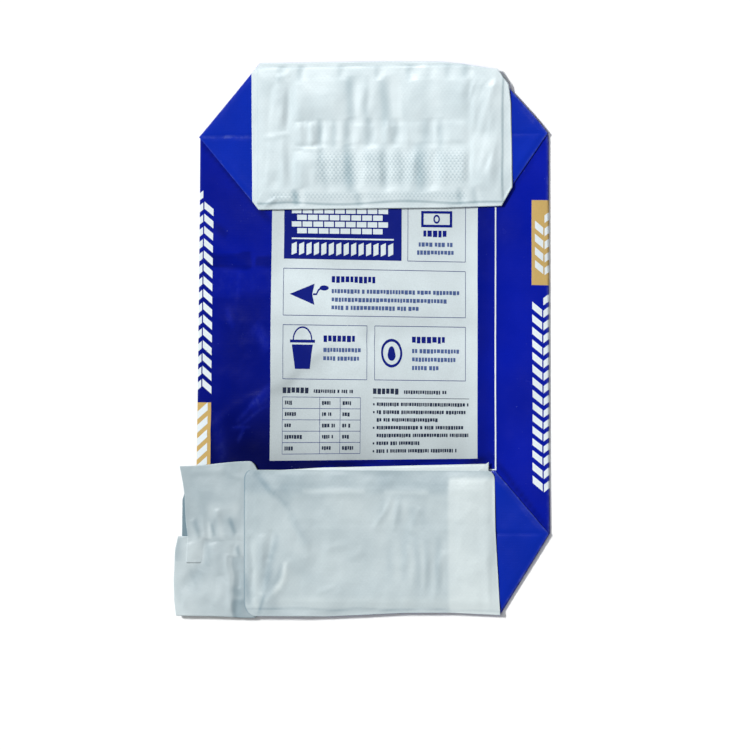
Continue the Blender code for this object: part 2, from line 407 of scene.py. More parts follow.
def fabric_group():
    """White coated fabric: weave relief where it shows, soft wrinkles and grey clouds.

    The shade colour is reached at a grey of 2, in the painted shade of creases and hollows.
    A vertex value brings that painted shade, painted highlights and some random tone.
    """
    name = "coated_fabric"
    if name in bpy.data.node_groups:
        return bpy.data.node_groups[name]
    inputs = (
        ("Vector", "vector", None),
        ("Colour", "colour", (0.8, 0.8, 0.8, 1.0)),
        ("Shade colour", "colour", (0.6, 0.65, 0.68, 1.0)),
        ("Cloud", "value", 0.35),
        ("Weave", "value", 1.0),
        # Painted shade and painted highlights for each vertex, with some random tone
        ("Painted_shade_and_tone", "value", 0.0),
    )
    tree, given, out = new_group(name, inputs, FINISH_OUTPUTS)
    vector = given["Vector"]
    weave = use_group(tree, weave_group(), vector)
    cloud = product_of(tree, spread(tree, noise(tree, vector, 14.0, 4.0, 0.6), 0.34, 0.66), given["Cloud"])
    gaps = maths(tree, "SUBTRACT", 1.0, weave.outputs["Checker"])
    gaps = product_of(tree, gaps, given["Weave"], 0.85)
    grey = spread(tree, sum_of(tree, cloud, gaps, given["Painted_shade_and_tone"]), 0.0, 2.0)
    relief = product_of(tree, weave.outputs["Height"], given["Weave"], 0.35)
    soft = product_of(tree, noise(tree, vector, 45.0, 4.0, 0.6), 1.2)
    tree.links.new(blend_colours(tree, grey, given["Colour"], given["Shade colour"]), out["Colour"])
    tree.links.new(spread(tree, noise(tree, vector, 30.0), 0.3, 0.7, 0.38, 0.55), out["Roughness"])
    tree.links.new(sum_of(tree, relief, soft), out["Height"])
    return tree


def new_material(name):
    """Start a Principled material: return it, its tree, its shader and Object coordinates."""
    material = bpy.data.materials.new(name)
    material.use_nodes = True
    tree = material.node_tree
    place = tree.nodes.new("ShaderNodeTexCoord")
    return material, tree, tree.nodes["Principled BSDF"], place.outputs["Object"]


def finish(name, group, values, attributes, depth, specular):
    """Make a Principled material fed by an effect group.

    The values set the group's inputs. Each of the attributes names the input
    that a vertex value of the same name in small letters drives. Depth is the
    bump's height in metres.
    """
    if name in bpy.data.materials:
        return bpy.data.materials[name]
    material, tree, shader, place = new_material(name)
    effect = use_group(tree, group, place)
    for label, value in values.items():
        effect.inputs[label].default_value = value if isinstance(value, float) else (*value, 1.0)
    for label in attributes:
        reader = add_node(tree, "ShaderNodeAttribute", attribute_name=label.lower())
        tree.links.new(reader.outputs["Fac"], effect.inputs[label])
    bump = add_node(tree, "ShaderNodeBump", {"Strength": 1.0, "Distance": depth})
    tree.links.new(effect.outputs["Colour"], shader.inputs["Base Color"])
    tree.links.new(effect.outputs["Roughness"], shader.inputs["Roughness"])
    tree.links.new(effect.outputs["Height"], bump.inputs["Height"])
    tree.links.new(bump.outputs["Normal"], shader.inputs["Normal"])
    shader.inputs["Specular IOR Level"].default_value = specular
    return material


FILM_RELIEF = 0.35 * MM
FABRIC_RELIEF = 0.5 * MM
FILM_SHINE = 0.1
FABRIC_SHINE = 0.2


def film(name, colour):
    """Glossy printed film of one colour."""
    return finish(name, film_group(), {"Colour": colour}, ("Wear_and_sheen", "Ink"), FILM_RELIEF, FILM_SHINE)


def fabric(name, colour, shade, cloud):
    """White coated fabric with a greyer tone in clouds of this strength."""
    values = {"Colour": colour, "Shade colour": shade, "Cloud": cloud}
    return finish(name, fabric_group(), values, ("Weave", "Painted_shade_and_tone"), FABRIC_RELIEF, FABRIC_SHINE)


def dress(made, materials, slot, *nodes):
    """Give a piece its materials and its body, and hide the nodes that it stands for. The slot is not
    used.
    """
    for material in materials:
        made.data.materials.append(material)
    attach(made, BODY)
    if nodes:
        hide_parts(*nodes)
    return made


# Sizes and colours that a user would change


def number(label, text, value, **kind):
    """A number property, with its unit or subtype as its kind."""
    return FloatProperty(name=label, description=text, default=value, **kind)


def length(label, text, millimetres):
    """A length property whose default is given in mm."""
    return number(label, text, millimetres * MM, unit="LENGTH", precision=5)


def paint(label, text, rgb):
    """A colour property."""
    kind = {"subtype": "COLOR", "min": 0.0, "max": 1.0}
    return FloatVectorProperty(name=label, description=text, default=rgb, **kind)


class ValveBagSizes(bpy.types.PropertyGroup):
    """Sizes of the printed panel and of the sheets."""

    panel_left: length("Panel left", "Left edge of the white panel", -130.0)
    panel_right: length("Panel right", "Right edge of the white panel", 135.5)
    panel_low: length("Panel low", "Lower edge of the white panel", -115.5)
    panel_high: length("Panel high", "Upper edge of the white panel, under the patch", 150.0)
    patch_sheet: length("Patch sheet", "Thickness of the patches", 0.45)
    sleeve_sheet: length("Sleeve sheet", "Thickness of the filling sleeve", 0.25)


class ValveBagColours(bpy.types.PropertyGroup):
    """Colours of the print and of the white fabrics."""

    blue: paint("Blue", "Printed blue of the film", (0.0014, 0.0088, 0.315))
    fold_blue: paint("Fold blue", "Blue of the folded ends", (0.0030, 0.022, 0.37))
    white: paint("White", "Printed white of the panel", (0.625, 0.705, 0.73))
    tan: paint("Tan", "Printed tan of the side blocks", (0.54, 0.37, 0.13))
    ink: paint("Ink", "Blue ink on the panel", (0.0050, 0.011, 0.175))
    rule_ink: paint("Rule ink", "Ink of the ruled lines", (0.018, 0.034, 0.16))
    small_ink: paint("Small ink", "Ink of the small rows", (0.070, 0.110, 0.26))
    dark_ink: paint("Dark ink", "Ink of the lower rows", (0.020, 0.028, 0.055))
    bright: paint("Bright", "White bars on the sides", (0.70, 0.77, 0.80))
    # Each shade colour below is the colour of the fabric's painted shade in creases and hollows
    patch: paint("Patch", "Patch of the plain end", (0.66, 0.75, 0.775))
    patch_shade: paint("Patch shade", "Creases of that patch", (0.32, 0.435, 0.48))
    low_patch: paint("Sleeve end patch", "Patch of the sleeve end", (0.61, 0.684, 0.69))
    low_patch_shade: paint("Sleeve end shade", "Creases of that patch", (0.20, 0.285, 0.335))
    sleeve: paint("Sleeve", "Filling sleeve", (0.525, 0.60, 0.62))
    sleeve_shade: paint("Sleeve shade", "Creases of the sleeve", (0.155, 0.23, 0.272))


class ValveBagStage(bpy.types.PropertyGroup):
    """Camera and lights."""

    tilt: number("Tilt", "Camera's angle over the floor", math.radians(47.51), subtype="ANGLE")
    distance: number("Distance", "Camera's distance", 18.0, unit="LENGTH")
    view_size: number("View", "Size of the square in view", 0.70875, unit="LENGTH")
    key_angle: number("Key angle", "Width of the key light", math.radians(14.0), subtype="ANGLE")
    key_strength: number("Key", "Strength of the key light", 3.9)
    fill_power: number("Fill", "Power of the overhead light", 9.0, unit="POWER")


def sizes():
    """The scene's size settings."""
    return bpy.context.scene.valve_bag_sizes


def colours():
    """The scene's colour settings."""
    return bpy.context.scene.valve_bag_colours


# The lying bag: where a point of the flat pattern comes to rest

TUBE_TOP = 2.0 * MM
TUBE_UNDER = 0.15 * MM
TUBE_MIDDLE = (TUBE_TOP + TUBE_UNDER) / 2
TUBE_RIM = 1.2 * MM

# Outline of the lying bag in mm: side edges by place along it, ends by place across
LEFT_EDGE = (
    (-260, -153), (-184, -228), (-118, -229.8), (-55, -228.4), (122, -225.6), (191, -225), (260, -147.5),
)
RIGHT_EDGE = ((-260, 159.5), (-184, 222.8), (-118, 221.9), (122, 221.3), (188.6, 221.3), (260, 152.5))
PLAIN_BOW = ((-146, 260.8), (20, 260.7), (84, 259.7), (107, 257.9), (138, 254.1), (157, 252.0))
SLEEVE_BOW = ((-151, -264.6), (-60, -264.2), (-20, -262.6), (40, -260), (100, -259.3), (161.5, -261))
# How far the print runs downhill across the bag, in thousandths, by place along it
LINE_SLOPE = ((-200, 0), (-116, 11), (-58, -7.5), (17, -13.1), (75, -18.7), (125, -12), (190, 0))


def lie(x, y):
    """Move a point of the flat pattern to where the lying bag has it.

    Across, it keeps its share of the width between the two side edges. Along,
    the print runs a little downhill, and both ends follow their bowed folds.
    """
    left, right = curve(LEFT_EDGE, y), curve(RIGHT_EDGE, y)
    new_x = left + (right - left) * (x + HALF_WIDTH) / BAG_WIDTH
    new_y = y + curve(LINE_SLOPE, y) * x
    new_y = new_y + (curve(PLAIN_BOW, new_x) - HALF_LENGTH) * smooth_step(0.190, HALF_LENGTH, y)
    new_y = new_y + (curve(SLEEVE_BOW, new_x) + HALF_LENGTH) * smooth_step(0.184, HALF_LENGTH, -y)
    return new_x, new_y


TUBE_CREASES = (
    ((-222, -97), (-168, -58), 5.0, 0.55),
    ((-168, -58), (-133, -52), 4.0, 0.5),
    ((-215, -30), (-160, -46), 7.0, 0.35),
    ((-214, 96), (-150, 60), 6.0, 0.35),
    ((-150, 60), (-133, 58), 4.0, 0.3),
    ((-208, 30), (-160, 10), 8.0, 0.4),
    ((-60, 6), (-40, -12), 4.0, 0.5),
    ((-30, 9), (6, -10), 4.5, 0.55),
    ((6, -4), (26, -16), 4.0, 0.45),
    ((-104, -6), (-60, -24), 6.0, 0.4),
    ((-126, -50), (-40, -62), 9.0, 0.45),
    ((-128, -86), (-60, -76), 9.0, 0.35),
    ((140, 60), (152, -60), 8.0, 0.35),
    ((-130, 118), (-60, 108), 8.0, 0.35),
    ((40, -62), (120, -92), 10.0, 0.35),
)


def tube_rise(x, y):
    """Height of the tube's upper side: slow waves, crumpled spots and creases."""
    waves = 0.45 * MM * layered_noise(x, y, 0.120, 11)
    ripples = 0.12 * MM * layered_noise(x, y, 0.034, 21)
    left_side = np.exp(-(((x + 0.180) / 0.045) ** 2) - ((y + 0.010) / 0.085) ** 2)
    middle = np.exp(-(((x + 0.020) / 0.070) ** 2) - ((y + 0.010) / 0.040) ** 2)
    spots = 0.75 * MM * crumple(x, y, 0.026, 5) * left_side
    spots = spots + 0.6 * MM * crumple(x, y, 0.022, 8) * middle
    return TUBE_TOP + waves + ripples + spots + ridges(x, y, TUBE_CREASES)


def tube_point(x, y, side=1.0, lift=0.0):
    """Place a point of the flat pattern on the tube, lifted off its face.

    Each side is its height field, drawn in to the mid height by a quarter
    circle at the rims. The lift acts upwards or downwards, and outwards where
    the side fold turns.
    """
    to_side, to_end = HALF_WIDTH - np.abs(x), HALF_LENGTH - np.abs(y)
    rim = rim_round(to_side, TUBE_RIM) * rim_round(to_end, TUBE_RIM)
    lying_x, lying_y = lie(x, y)
    fade = smooth_step(0.0, 0.012, to_side) * smooth_step(0.0, 0.012, to_end)
    top = TUBE_TOP + (tube_rise(lying_x, lying_y) - TUBE_TOP) * fade
    face = np.where(np.asarray(side) > 0.0, top, TUBE_UNDER)
    turned = 1.0 - np.clip(to_side / TUBE_RIM, 0.0, 1.0)
    z = TUBE_MIDDLE + (face - TUBE_MIDDLE) * rim + side * lift * (1.0 - turned)
    return lying_x + np.sign(x) * lift * turned, lying_y, z


def girth_point(girth, y, lift):
    """Place a point that is given round the girth: past a side edge it is underneath."""
    past = np.abs(girth) - HALF_WIDTH
    x = np.sign(girth) * (HALF_WIDTH - np.abs(past))
    return tube_point(x, y, np.where(past > 0.0, -1.0, 1.0), lift)


# Painted shadows below the slanting edges of the folded ends, and painted shade on the strip above the
# sleeve end patch
FOLD_PAINTED_SHADOWS = (
    ((-232, 196), (-132, 108), 3.0, 1.0),
    ((231, 198), (146, 106), 3.0, 0.35),
    ((146, -108), (232, -191), 2.5, 0.8),
    ((-140, -121), (150, -116), 4.0, 1.4),
)


# Painted shade: how much darker the left side's blue is painted where it mirrors less light, by place
# along the bag in mm
LEFT_PAINTED_SHADE = (
    (-120, -0.82), (-104, -0.78), (-84, -0.66), (-72, -0.57), (-50, -0.47), (-38, -0.43), (34, -0.36),
    (40, -0.28), (64, -0.22), (67, -0.16), (86, -0.18), (132, -0.20), (177, -0.08),
)


# Painted reflections: streaks of the left side that mirror more or less light, by place in mm
LEFT_PAINTED_REFLECTIONS = (
    ((-207, 109), (-188, 96), 4.0, -0.25),
    ((-189, 28), (-180, 8), 3.5, 0.20),
    ((-155, 12), (-134, -11), 7.0, 0.26),
    ((-178, -80), (-130, -42), 2.2, 0.16),
    ((-180, -86), (-131, -62), 1.6, 0.14),
    ((-160, -67), (-130, -50), 6.0, 0.26),
    ((-184, -86), (-160, -84), 1.6, 0.16),
    ((-169, -85), (-176, -99), 2.0, 0.18),
    ((-203, -70), (-196, -120), 8.0, 0.14),
)
# Its painted reflections with sharper edges: (left, right, low, high) and softness in mm, and how much
# lighter
LEFT_REFLECTION_PATCHES = (
    ((-216, -158, 66, 81), 1.5, -0.26),
    ((-152.5, -126, 66, 77), 1.5, -0.26),
    ((-216, -172, 38, 66), 1.5, 0.08),
    ((-176, -126, 44, 66), 1.5, 0.07),
)


def left_painted_reflections(x, y):
    """The left side's painted reflections: its streaks, and its patches with wavering edges."""
    warped_x = x + 2.0 * MM * lattice_noise(x, y, 0.016, 182)
    warped_y = y + 2.0 * MM * lattice_noise(x, y, 0.016, 181)
    return ridges(x, y, LEFT_PAINTED_REFLECTIONS) / MM + soft_boxes(warped_x, warped_y, LEFT_REFLECTION_PATCHES)


# Painted shade: how much darker the panel is, by place along the bag in mm
PANEL_PAINTED_SHADE = (
    (-115, -0.36), (-105, -0.31), (-87, -0.24), (-69, -0.20), (-50, -0.20), (-38, -0.15), (-21, -0.10),
    (-2, -0.05), (14, -0.13), (33, -0.04), (54, -0.03), (73, -0.09), (94, -0.10), (113, -0.13),
)
# Its creases' painted shade and painted highlights
PANEL_PAINTED_CREASES = (
    ((-134, -55), (-84, -26), 6.0, -0.16),
    ((-90, -29), (-48, -6), 4.5, -0.12),
    ((-80, -45), (-40, -20), 7.0, 0.04),
    ((-26, 6), (-12, -10), 3.0, 0.07),
    ((-13, 8), (-5, -9), 3.0, -0.08),
    ((-2, 6), (-8, -12), 3.0, 0.07),
    ((6, 4), (2, -10), 3.0, -0.06),
    ((12, -2), (20, -14), 3.5, 0.05),
    ((-104, 8), (-90, 2), 4.0, -0.05),
    ((-120, 62), (-90, 58), 8.0, 0.04),
    ((60, 40), (130, 36), 10.0, 0.03),
    ((-30, -30), (30, -40), 10.0, -0.05),
)


def panel_painted_shade(x, y):
    """How much painted shade the panel's white has: more to the left and towards the sleeve end."""
    tone = np.interp(y / MM, *zip(*PANEL_PAINTED_SHADE))
    tone = tone - 0.04 * smooth_step(0.085, 0.125, -x) + 0.05 * smooth_step(0.110, 0.125, x)
    return tone + 0.03 * layered_noise(x, y, 0.040, 171) + ridges(x, y, PANEL_PAINTED_CREASES) / MM


# The darker strip beside the panel's right edge: its middle and half width
STRIP_MIDDLE, STRIP_WIDTH = 140.0 * MM, 18.0 * MM
DARKEST_INK_AND_SHADE = -0.82


def film_ink_and_shade(x, y):
    """How much denser or paler the blue is than its plain tone.

    The left side is darker by painted shade, most of all towards the sleeve end, and carries painted
    reflections.
    The strip beside the panel's right edge is darker too, and painted shadows run below the folded ends.
    """
    left_side = smooth_step(0.02, -0.15, x)
    right_low = (1.0 - left_side) * smooth_step(0.0, -0.05, y)
    strip = np.exp(-(((x - STRIP_MIDDLE) / STRIP_WIDTH) ** 2))
    lying_x, lying_y = lie(x, y)
    ink = left_side * np.interp(y / MM, *zip(*LEFT_PAINTED_SHADE)) - 0.34 * strip - 0.07 * right_low
    ink = ink + 0.07 * layered_noise(x, y, 0.050, 151) + left_painted_reflections(lying_x, lying_y)
    return np.maximum(ink - 0.45 * ridges(lying_x, lying_y, FOLD_PAINTED_SHADOWS) / MM, DARKEST_INK_AND_SHADE)


# Steps of the tube's grid: across, along its open part and along its covered ends
STEP_ACROSS, STEP_ALONG, STEP_COVERED = 2.4 * MM, 2.2 * MM, 5.0 * MM
OPEN_REACH = 131.0 * MM
CORNER_ROWS = (-184.0 * MM, 191.0 * MM)
# The blue's tone stops this far outside the panel, so that none of it runs into the white
TONE_GAP = 0.3 * MM


def build_tube():
    """The flattened tube as one closed shell, with the white panel as its own faces."""
    size = sizes()
    left, right, low = size.panel_left, size.panel_right, size.panel_low
    sides = (left - TONE_GAP, left, right, right + TONE_GAP)
    across = edge_spaced(-HALF_WIDTH, HALF_WIDTH, STEP_ACROSS, TUBE_RIM, sides)
    ends = edge_spaced(-HALF_LENGTH, HALF_LENGTH, STEP_COVERED, TUBE_RIM, CORNER_ROWS)
    covered = ends[np.abs(ends) > OPEN_REACH + 0.5 * MM]
    open_part = np.arange(-OPEN_REACH, OPEN_REACH, STEP_ALONG)
    x, y = np.meshgrid(across, np.sort(np.concatenate([open_part, [low - TONE_GAP, low], covered])))
    lying_x, lying_y, top = tube_point(x, y)
    _, _, under = tube_point(x, y, side=-1.0)
    middle_x = (x[:-1, :-1] + x[:-1, 1:]) / 2
    middle_y = (y[:-1, :-1] + y[1:, :-1]) / 2
    on_panel = (middle_x > left) & (middle_x < right) & (middle_y > low) & (middle_y < size.panel_high)
    reach = TONE_GAP / 2
    inside = (x > left - reach) & (x < right + reach) & (y > low - reach)
    to_rim = np.minimum(HALF_WIDTH - np.abs(x), HALF_LENGTH - np.abs(y))
    # Pale lines along the rims, part wear and part painted highlight where the folds turn, and the left
    # side's painted reflections
    wear_and_sheen = 0.35 * np.exp(-to_rim / (0.7 * MM))
    wear_and_sheen = wear_and_sheen + 0.14 * np.maximum(left_painted_reflections(lying_x, lying_y), 0.0) * ~inside
    # Ink on the panel is its painted shade; on the blue it is print density with painted shade and painted
    # reflections
    values = (("wear_and_sheen", wear_and_sheen), ("ink", np.where(inside, panel_painted_shade(lying_x, lying_y), film_ink_and_shade(x, y))))
    made = closed_shell("bag_tube", lying_x, lying_y, top, under, values, on_panel.astype(int))
    tone = colours()
    films = [film("blue_film", tone.blue), film("white_film", tone.white)]
    return dress(made, films, "printed_film", "bag_body")


# The folded ends

POCKET_BODY = 0.9 * MM
POCKET_RIM = 0.8 * MM
POCKET_GAP = 0.05 * MM
POCKET_PUFF = 0.5 * MM
DENT_DEPTH, DENT_WIDTH = 0.35 * MM, 1.6 * MM
# The corners of each hexagon in mm, by row from low to high
PLAIN_END = {
    "rows": (122.4, 191.2, 260.2),
    "left": (-149.0, -225.4, -146.6),
    "right": (158.5, 221.6, 152.5),
}
SLEEVE_END = {
    "rows": (-264.0, -184.0, -125.6),
    "left": (-151.0, -226.2, -150.0),
    "right": (159.5, 223.0, 155.5),
}


def build_end(name, end, bow, outward, seed):
    """One folded end: a flat hexagon on the tube, puffed, with a dent along its middle.

    Its rows run between the two slanting sides, and its outer line is bent to
    the bow. Outward is 1 where the outer line is the upper one, otherwise -1.
    """
    low, corner, high = (value * MM for value in end["rows"])
    outer = high if outward > 0 else low
    upward = edge_spaced(low, high, 2.2 * MM, POCKET_RIM, (corner,))
    share, y = np.meshgrid(edge_spaced(0.0, 1.0, 0.0055, 0.0022), upward)
    left = curve(tuple(zip(end["rows"], end["left"])), y)
    right = curve(tuple(zip(end["rows"], end["right"])), y)
    x = left + (right - left) * share
    reach = smooth_step(corner * outward, outer * outward, y * outward)
    lying_y = y + (curve(bow, x) - outer) * reach
    to_side = np.minimum(share, 1.0 - share) * (right - left)
    to_end = np.minimum(y - low, high - y)
    edge = rim_round(to_side, POCKET_RIM) * rim_round(to_end, POCKET_RIM)
    base = tube_rise(x, lying_y) + POCKET_GAP
    inside = smooth_step(0.0, 0.010, np.minimum(to_side, to_end))
    dent = DENT_DEPTH * np.exp(-(((y - corner) / DENT_WIDTH) ** 2))
    puff = POCKET_PUFF * (1.0 + layered_noise(x, lying_y, 0.045, seed))
    puff = puff + 0.06 * MM * layered_noise(x, lying_y, 0.011, seed + 5)
    puff = puff * (1.0 - 0.9 * smooth_step(0.070, 0.100, -x) * (outward < 0))
    middle = base + POCKET_BODY / 2
    top = middle + (POCKET_BODY / 2 + (puff - dent) * inside) * edge
    under = middle - POCKET_BODY / 2 * edge
    # Pale lines along the folds, part wear and part painted highlight, and scuffs along the middle dent
    fold = 0.45 * np.exp(-np.minimum(to_side, np.abs(y - outer)) / (0.6 * MM))
    scuff = np.exp(-(((y - corner) / (0.6 * MM)) ** 2)) * (x < 0.0) * (outward > 0)
    scuff = scuff * (0.08 + 0.5 * window(x / MM, -193, -184, 3.0))
    tone = 0.05 * layered_noise(x, lying_y, 0.040, seed + 9) - 0.10 * (outward < 0)
    values = (("wear_and_sheen", np.maximum(fold, scuff)), ("ink", tone))
    made = closed_shell(name, x, lying_y, top, under, values)
    return dress(made, [film("fold_film", colours().fold_blue)], "printed_film", "bag_body")


# The print: marks given in the flat pattern, round the girth, and laid on the tube

PRINT_LIFT = 0.06 * MM
# Longest side of a mark's faces, in mm
PRINT_STEP = 3.0


def girth_lines(low, high):
    """Places round the girth, with closer ones where a side fold turns."""
    count = max(2, int(math.ceil((high - low) / (PRINT_STEP * MM))) + 1)
    turn = TUBE_RIM * (1.0 - np.cos(np.linspace(0.0, math.pi / 2, 5)))
    folds = [side * (HALF_WIDTH + sign * turn) for side in (-1, 1) for sign in (-1, 1)]
    places = np.unique(np.round(np.concatenate([np.linspace(low, high, count), *folds]), 7))
    return places[(places >= low - 1e-7) & (places <= high + 1e-7)]


def band(left, right, low, high):
    """A mark between two lines across the bag, in mm; low and high may be functions."""
    girth = girth_lines(left * MM, right * MM)
    low = np.array([low(g / MM) if callable(low) else low for g in girth]) * MM
    high = np.array([high(g / MM) if callable(high) else high for g in girth]) * MM
    rows = max(2, int(math.ceil(np.max(high - low) / (PRINT_STEP * MM))) + 1)
    share = np.linspace(0.0, 1.0, rows)[:, None]
    return np.broadcast_to(girth, (rows, len(girth))), low + (high - low) * share


def slanted(left, right, low, height, climb):
    """A bar that climbs by so much for each mm across."""

    def line(start):
        return lambda g: start + climb * (g - left)

    return band(left, right, line(low), line(low + height))


def upright(x, low, high, width=0.5):
    """A thin line along the bag."""
    return band(x - width / 2, x + width / 2, low, high)


def level(y, left, right, width=0.5):
    """A thin line across the bag."""
    return band(left, right, y - width / 2, y + width / 2)


def four_sided(corners):
    """A mark between four corners, in mm and in turn, filled by blending opposite sides."""
    (a, b, c, d) = np.array(corners, dtype=float)
    longest = max(np.linalg.norm(b - a), np.linalg.norm(d - a))
    count = max(2, int(math.ceil(longest / PRINT_STEP)) + 1)
    u, v = np.meshgrid(np.linspace(0.0, 1.0, count), np.linspace(0.0, 1.0, count))
    u, v = u[..., None], v[..., None]
    grid = ((a * (1 - u) + b * u) * (1 - v) + (d * (1 - u) + c * u) * v) * MM
    return grid[..., 0], grid[..., 1]


def disc(x, y, outer, inner=0.0, start=0.0, sweep=360.0, stretch=None):
    """A disc, ring or arc round a point, in mm and degrees.

    Stretch may give a factor on the radius for each angle, for other outlines.
    """
    steps = max(8, int(sweep / 7.5))
    angle = np.radians(start + sweep * np.linspace(0.0, 1.0, steps + 1))
    factor = np.ones(len(angle)) if stretch is None else stretch(angle)
    rings = max(2, int((outer - inner) / PRINT_STEP) + 2)
    radius = np.linspace(outer, inner, rings)[:, None] * factor
    return (x + radius * np.cos(angle)) * MM, (y + radius * np.sin(angle)) * MM


def stroke(points, width):
    """A line of even width through points, in mm."""
    path = np.array(points, dtype=float)
    tangent = np.gradient(path, axis=0)
    tangent = tangent / np.linalg.norm(tangent, axis=1)[:, None]
    normal = np.stack([-tangent[:, 1], tangent[:, 0]], axis=1)
    grid = np.stack([path - normal * width / 2, path + normal * width / 2]) * MM
    return grid[..., 0], grid[..., 1]


def facing_up(grid):
    """Turn a mark's grid over where its faces would point down."""
    x, y = grid
    area = (x[0, -1] - x[0, 0]) * (y[-1, 0] - y[0, 0]) - (x[-1, 0] - x[0, 0]) * (y[0, -1] - y[0, 0])
    if abs(area) < 1e-12:
        area = (x[0, 1] - x[0, 0]) * (y[1, 0] - y[0, 0]) - (x[1, 0] - x[0, 0]) * (y[0, 1] - y[0, 0])
    return (x, y) if area > 0 else (x[:, ::-1], y[:, ::-1])


def lay_print(name, marks, material, layer=1):
    """Lay marks on the tube as one piece, higher for each layer of print."""
    points, quads, start = [], [], 0
    for girth, y in map(facing_up, marks):
        place = girth_point(girth, y, PRINT_LIFT * layer)
        points.append(np.stack(place, axis=-1).reshape(-1, 3))
        quads.append(grid_quads(np.arange(girth.size).reshape(girth.shape)) + start)
        start += girth.size
    made = mesh_object(name, np.concatenate(points), np.concatenate(quads))
    return dress(made, [material], "printed_film")


def text_row(left, right, low, height, rng, widths=(1.3, 3.1), gap=0.75, word=0.12):
    """A row of plain blocks that stands for a line of small print."""
    marks, x = [], left
    while x < right - widths[0]:
        wide = min(rng.uniform(*widths), right - x)
        drop = rng.uniform(0.0, 0.18) * height
        marks.append(band(x, x + wide, low + drop, low + height))
        x += wide + gap + (2.0 if rng.uniform() < word else 0.0)
    return marks


# Ruled boxes of the panel and the lines of its table, in mm: (left, right, low, high)
BOXES = ((-114, 120, 20, 64), (-114, -6, -40, 11), (4, 120, -40, 11), (46, 120, 73, 150))
TABLE = {"rows": (-57, -67.5, -78, -88.5, -99, -109.5), "columns": (-114, -66, -40, -14)}


def ruled_lines():
    """The lines of the panel's boxes and of its table."""
    marks = []
    for left, right, low, high in BOXES:
        marks += [level(y, left, right, 0.6) for y in (low, high)]
        marks += [upright(x, low, high, 0.6) for x in (left, right)]
    rows, columns = TABLE["rows"], TABLE["columns"]
    marks += [level(y, columns[0], columns[-1]) for y in rows]
    return marks + [upright(x, rows[-1], rows[0]) for x in columns]


def trowel_marks(x, y):
    """A trowel seen from above, pointing left: blade, neck and handle."""
    blade = four_sided([(x - 34, y), (x - 2, y - 10), (x - 5, y), (x - 2, y + 10)])
    neck = stroke([(x - 4, y), (x + 0.5, y), (x + 3, y + 4), (x + 5.5, y + 5.5)], 1.8)
    handle = disc(x + 10.4, y + 6.1, 5.8, stretch=lambda a: 1.0 / np.hypot(np.cos(a), np.sin(a) / 0.42))
    return [blade, neck, handle]


def drop_marks(x, y):
    """A ring with a drop in it."""
    drop = disc(x, y - 2.2, 5.0, 0.02, stretch=lambda a: 1.0 + 0.75 * np.clip(np.sin(a), 0.0, 1.0) ** 5)
    return [disc(x, y, 13.6, 10.9), drop]


def level_marks(x, y):
    """A spirit level: two rails, three posts and a round window between them."""
    rails = [band(x - 20.0, x + 20.0, y + side, y + side + 2.4) for side in (-7.6, 5.2)]
    posts = [band(x + post, x + post + 3.2, y - 5.2, y + 5.2) for post in (-20.0, 16.8)]
    return [*rails, *posts, disc(x, y, 4.2, 2.4)]


def bucket_marks(x, y):
    """A bucket with its rim and handle."""
    body = four_sided([(x - 9.5, y - 14), (x + 9.5, y - 14), (x + 13.5, y + 9), (x - 13.5, y + 9)])
    rim = band(x - 16, x + 16, y + 10.8, y + 13.6)
    handle = disc(x, y + 13.6, 12.6, 11.0, 0.0, 180.0)
    return [body, rim, handle]


def panel_marks(rng):
    """What is printed on the panel in blue ink: title block, motifs and headings."""
    marks = [band(-114, 38, 73, 150)] + level_marks(83.0, 112.5)
    for left, right, low in ((66, 100, 95.5), (-52, 4, 51), (-62, -18, -5), (52, 96, -5)):
        marks += text_row(left, right, low, 6.4, rng, (3.6, 5.6), 1.5, 0.0)
    return marks + trowel_marks(-72.0, 40.0) + bucket_marks(-89.0, -16.5) + drop_marks(26.0, -14.5)


def small_rows(rng):
    """The boxes' lines of small print."""
    rows = [(60, 106, 86.5), (58, 108, 79.0), (-52, 112, 41.0), (-52, 96, 33.0), (-52, 60, 25.5)]
    rows += [(-62, -12, -14.5), (-62, -14, -22.5), (52, 114, -14.5), (52, 110, -22.5), (52, 88, -30.5)]
    marks = []
    for left, right, low in rows:
        marks += text_row(left, right, low, 4.2, rng, (2.4, 4.2), 1.0, 0.06)
    return marks


ROW_PITCH = 7.4
# Right ends of the lower right rows in mm, and which of them have a bullet
ROW_ENDS = (124, 121, 88, 118, 124, 62, 109)
BULLET_ROWS = (0, 1, 3, 5, 6)


def dark_rows(rng):
    """The table's cells, and the rows with bullets beside it, under their headings."""
    marks = []
    for low, left, right in ((-53.8, -114.0, -80.0), (-53.8, 2.0, 36.0)):
        marks += text_row(left, right, low, 5.8, rng, (4.0, 5.0), 1.3, 0.0)
        marks += text_row(right + 6.0, right + 60.0, low + 0.6, 3.6, rng, (1.4, 2.6), 0.9, 0.1)
    columns = TABLE["columns"]
    for low in TABLE["rows"][1:]:
        for left, right in zip(columns, columns[1:]):
            end = rng.uniform(left + 12.0, right - 3.0)
            marks += text_row(left + 3.0, end, low + 3.2, 3.8, rng)
    marks.append(level(-57.0, 2.0, 125.0))
    for row, end in enumerate(ROW_ENDS):
        low = -65.0 - ROW_PITCH * row
        marks += text_row(7.0, end, low, 3.7, rng)
        if row in BULLET_ROWS:
            marks.append(band(2.2, 4.2, low + 0.9, low + 2.9))
    return marks


def title_marks():
    """White on the title block: brick courses, a rule and a row of slanted bars."""
    marks = [band(-104.0, 28.0, 92.0, 93.4)]
    for row, low in enumerate((97.6, 104.0, 110.4, 116.8, 123.2)):
        start = -104.0 if row % 2 else -97.0
        marks += [band(x, x + 12.4, low, low + 5.0) for x in np.arange(start, 15.0, 14.0)]
    return marks + [slanted(x, x + 6.5, 76.6, 10.6, 0.35) for x in np.arange(-104.0, 22.0, 9.6)]


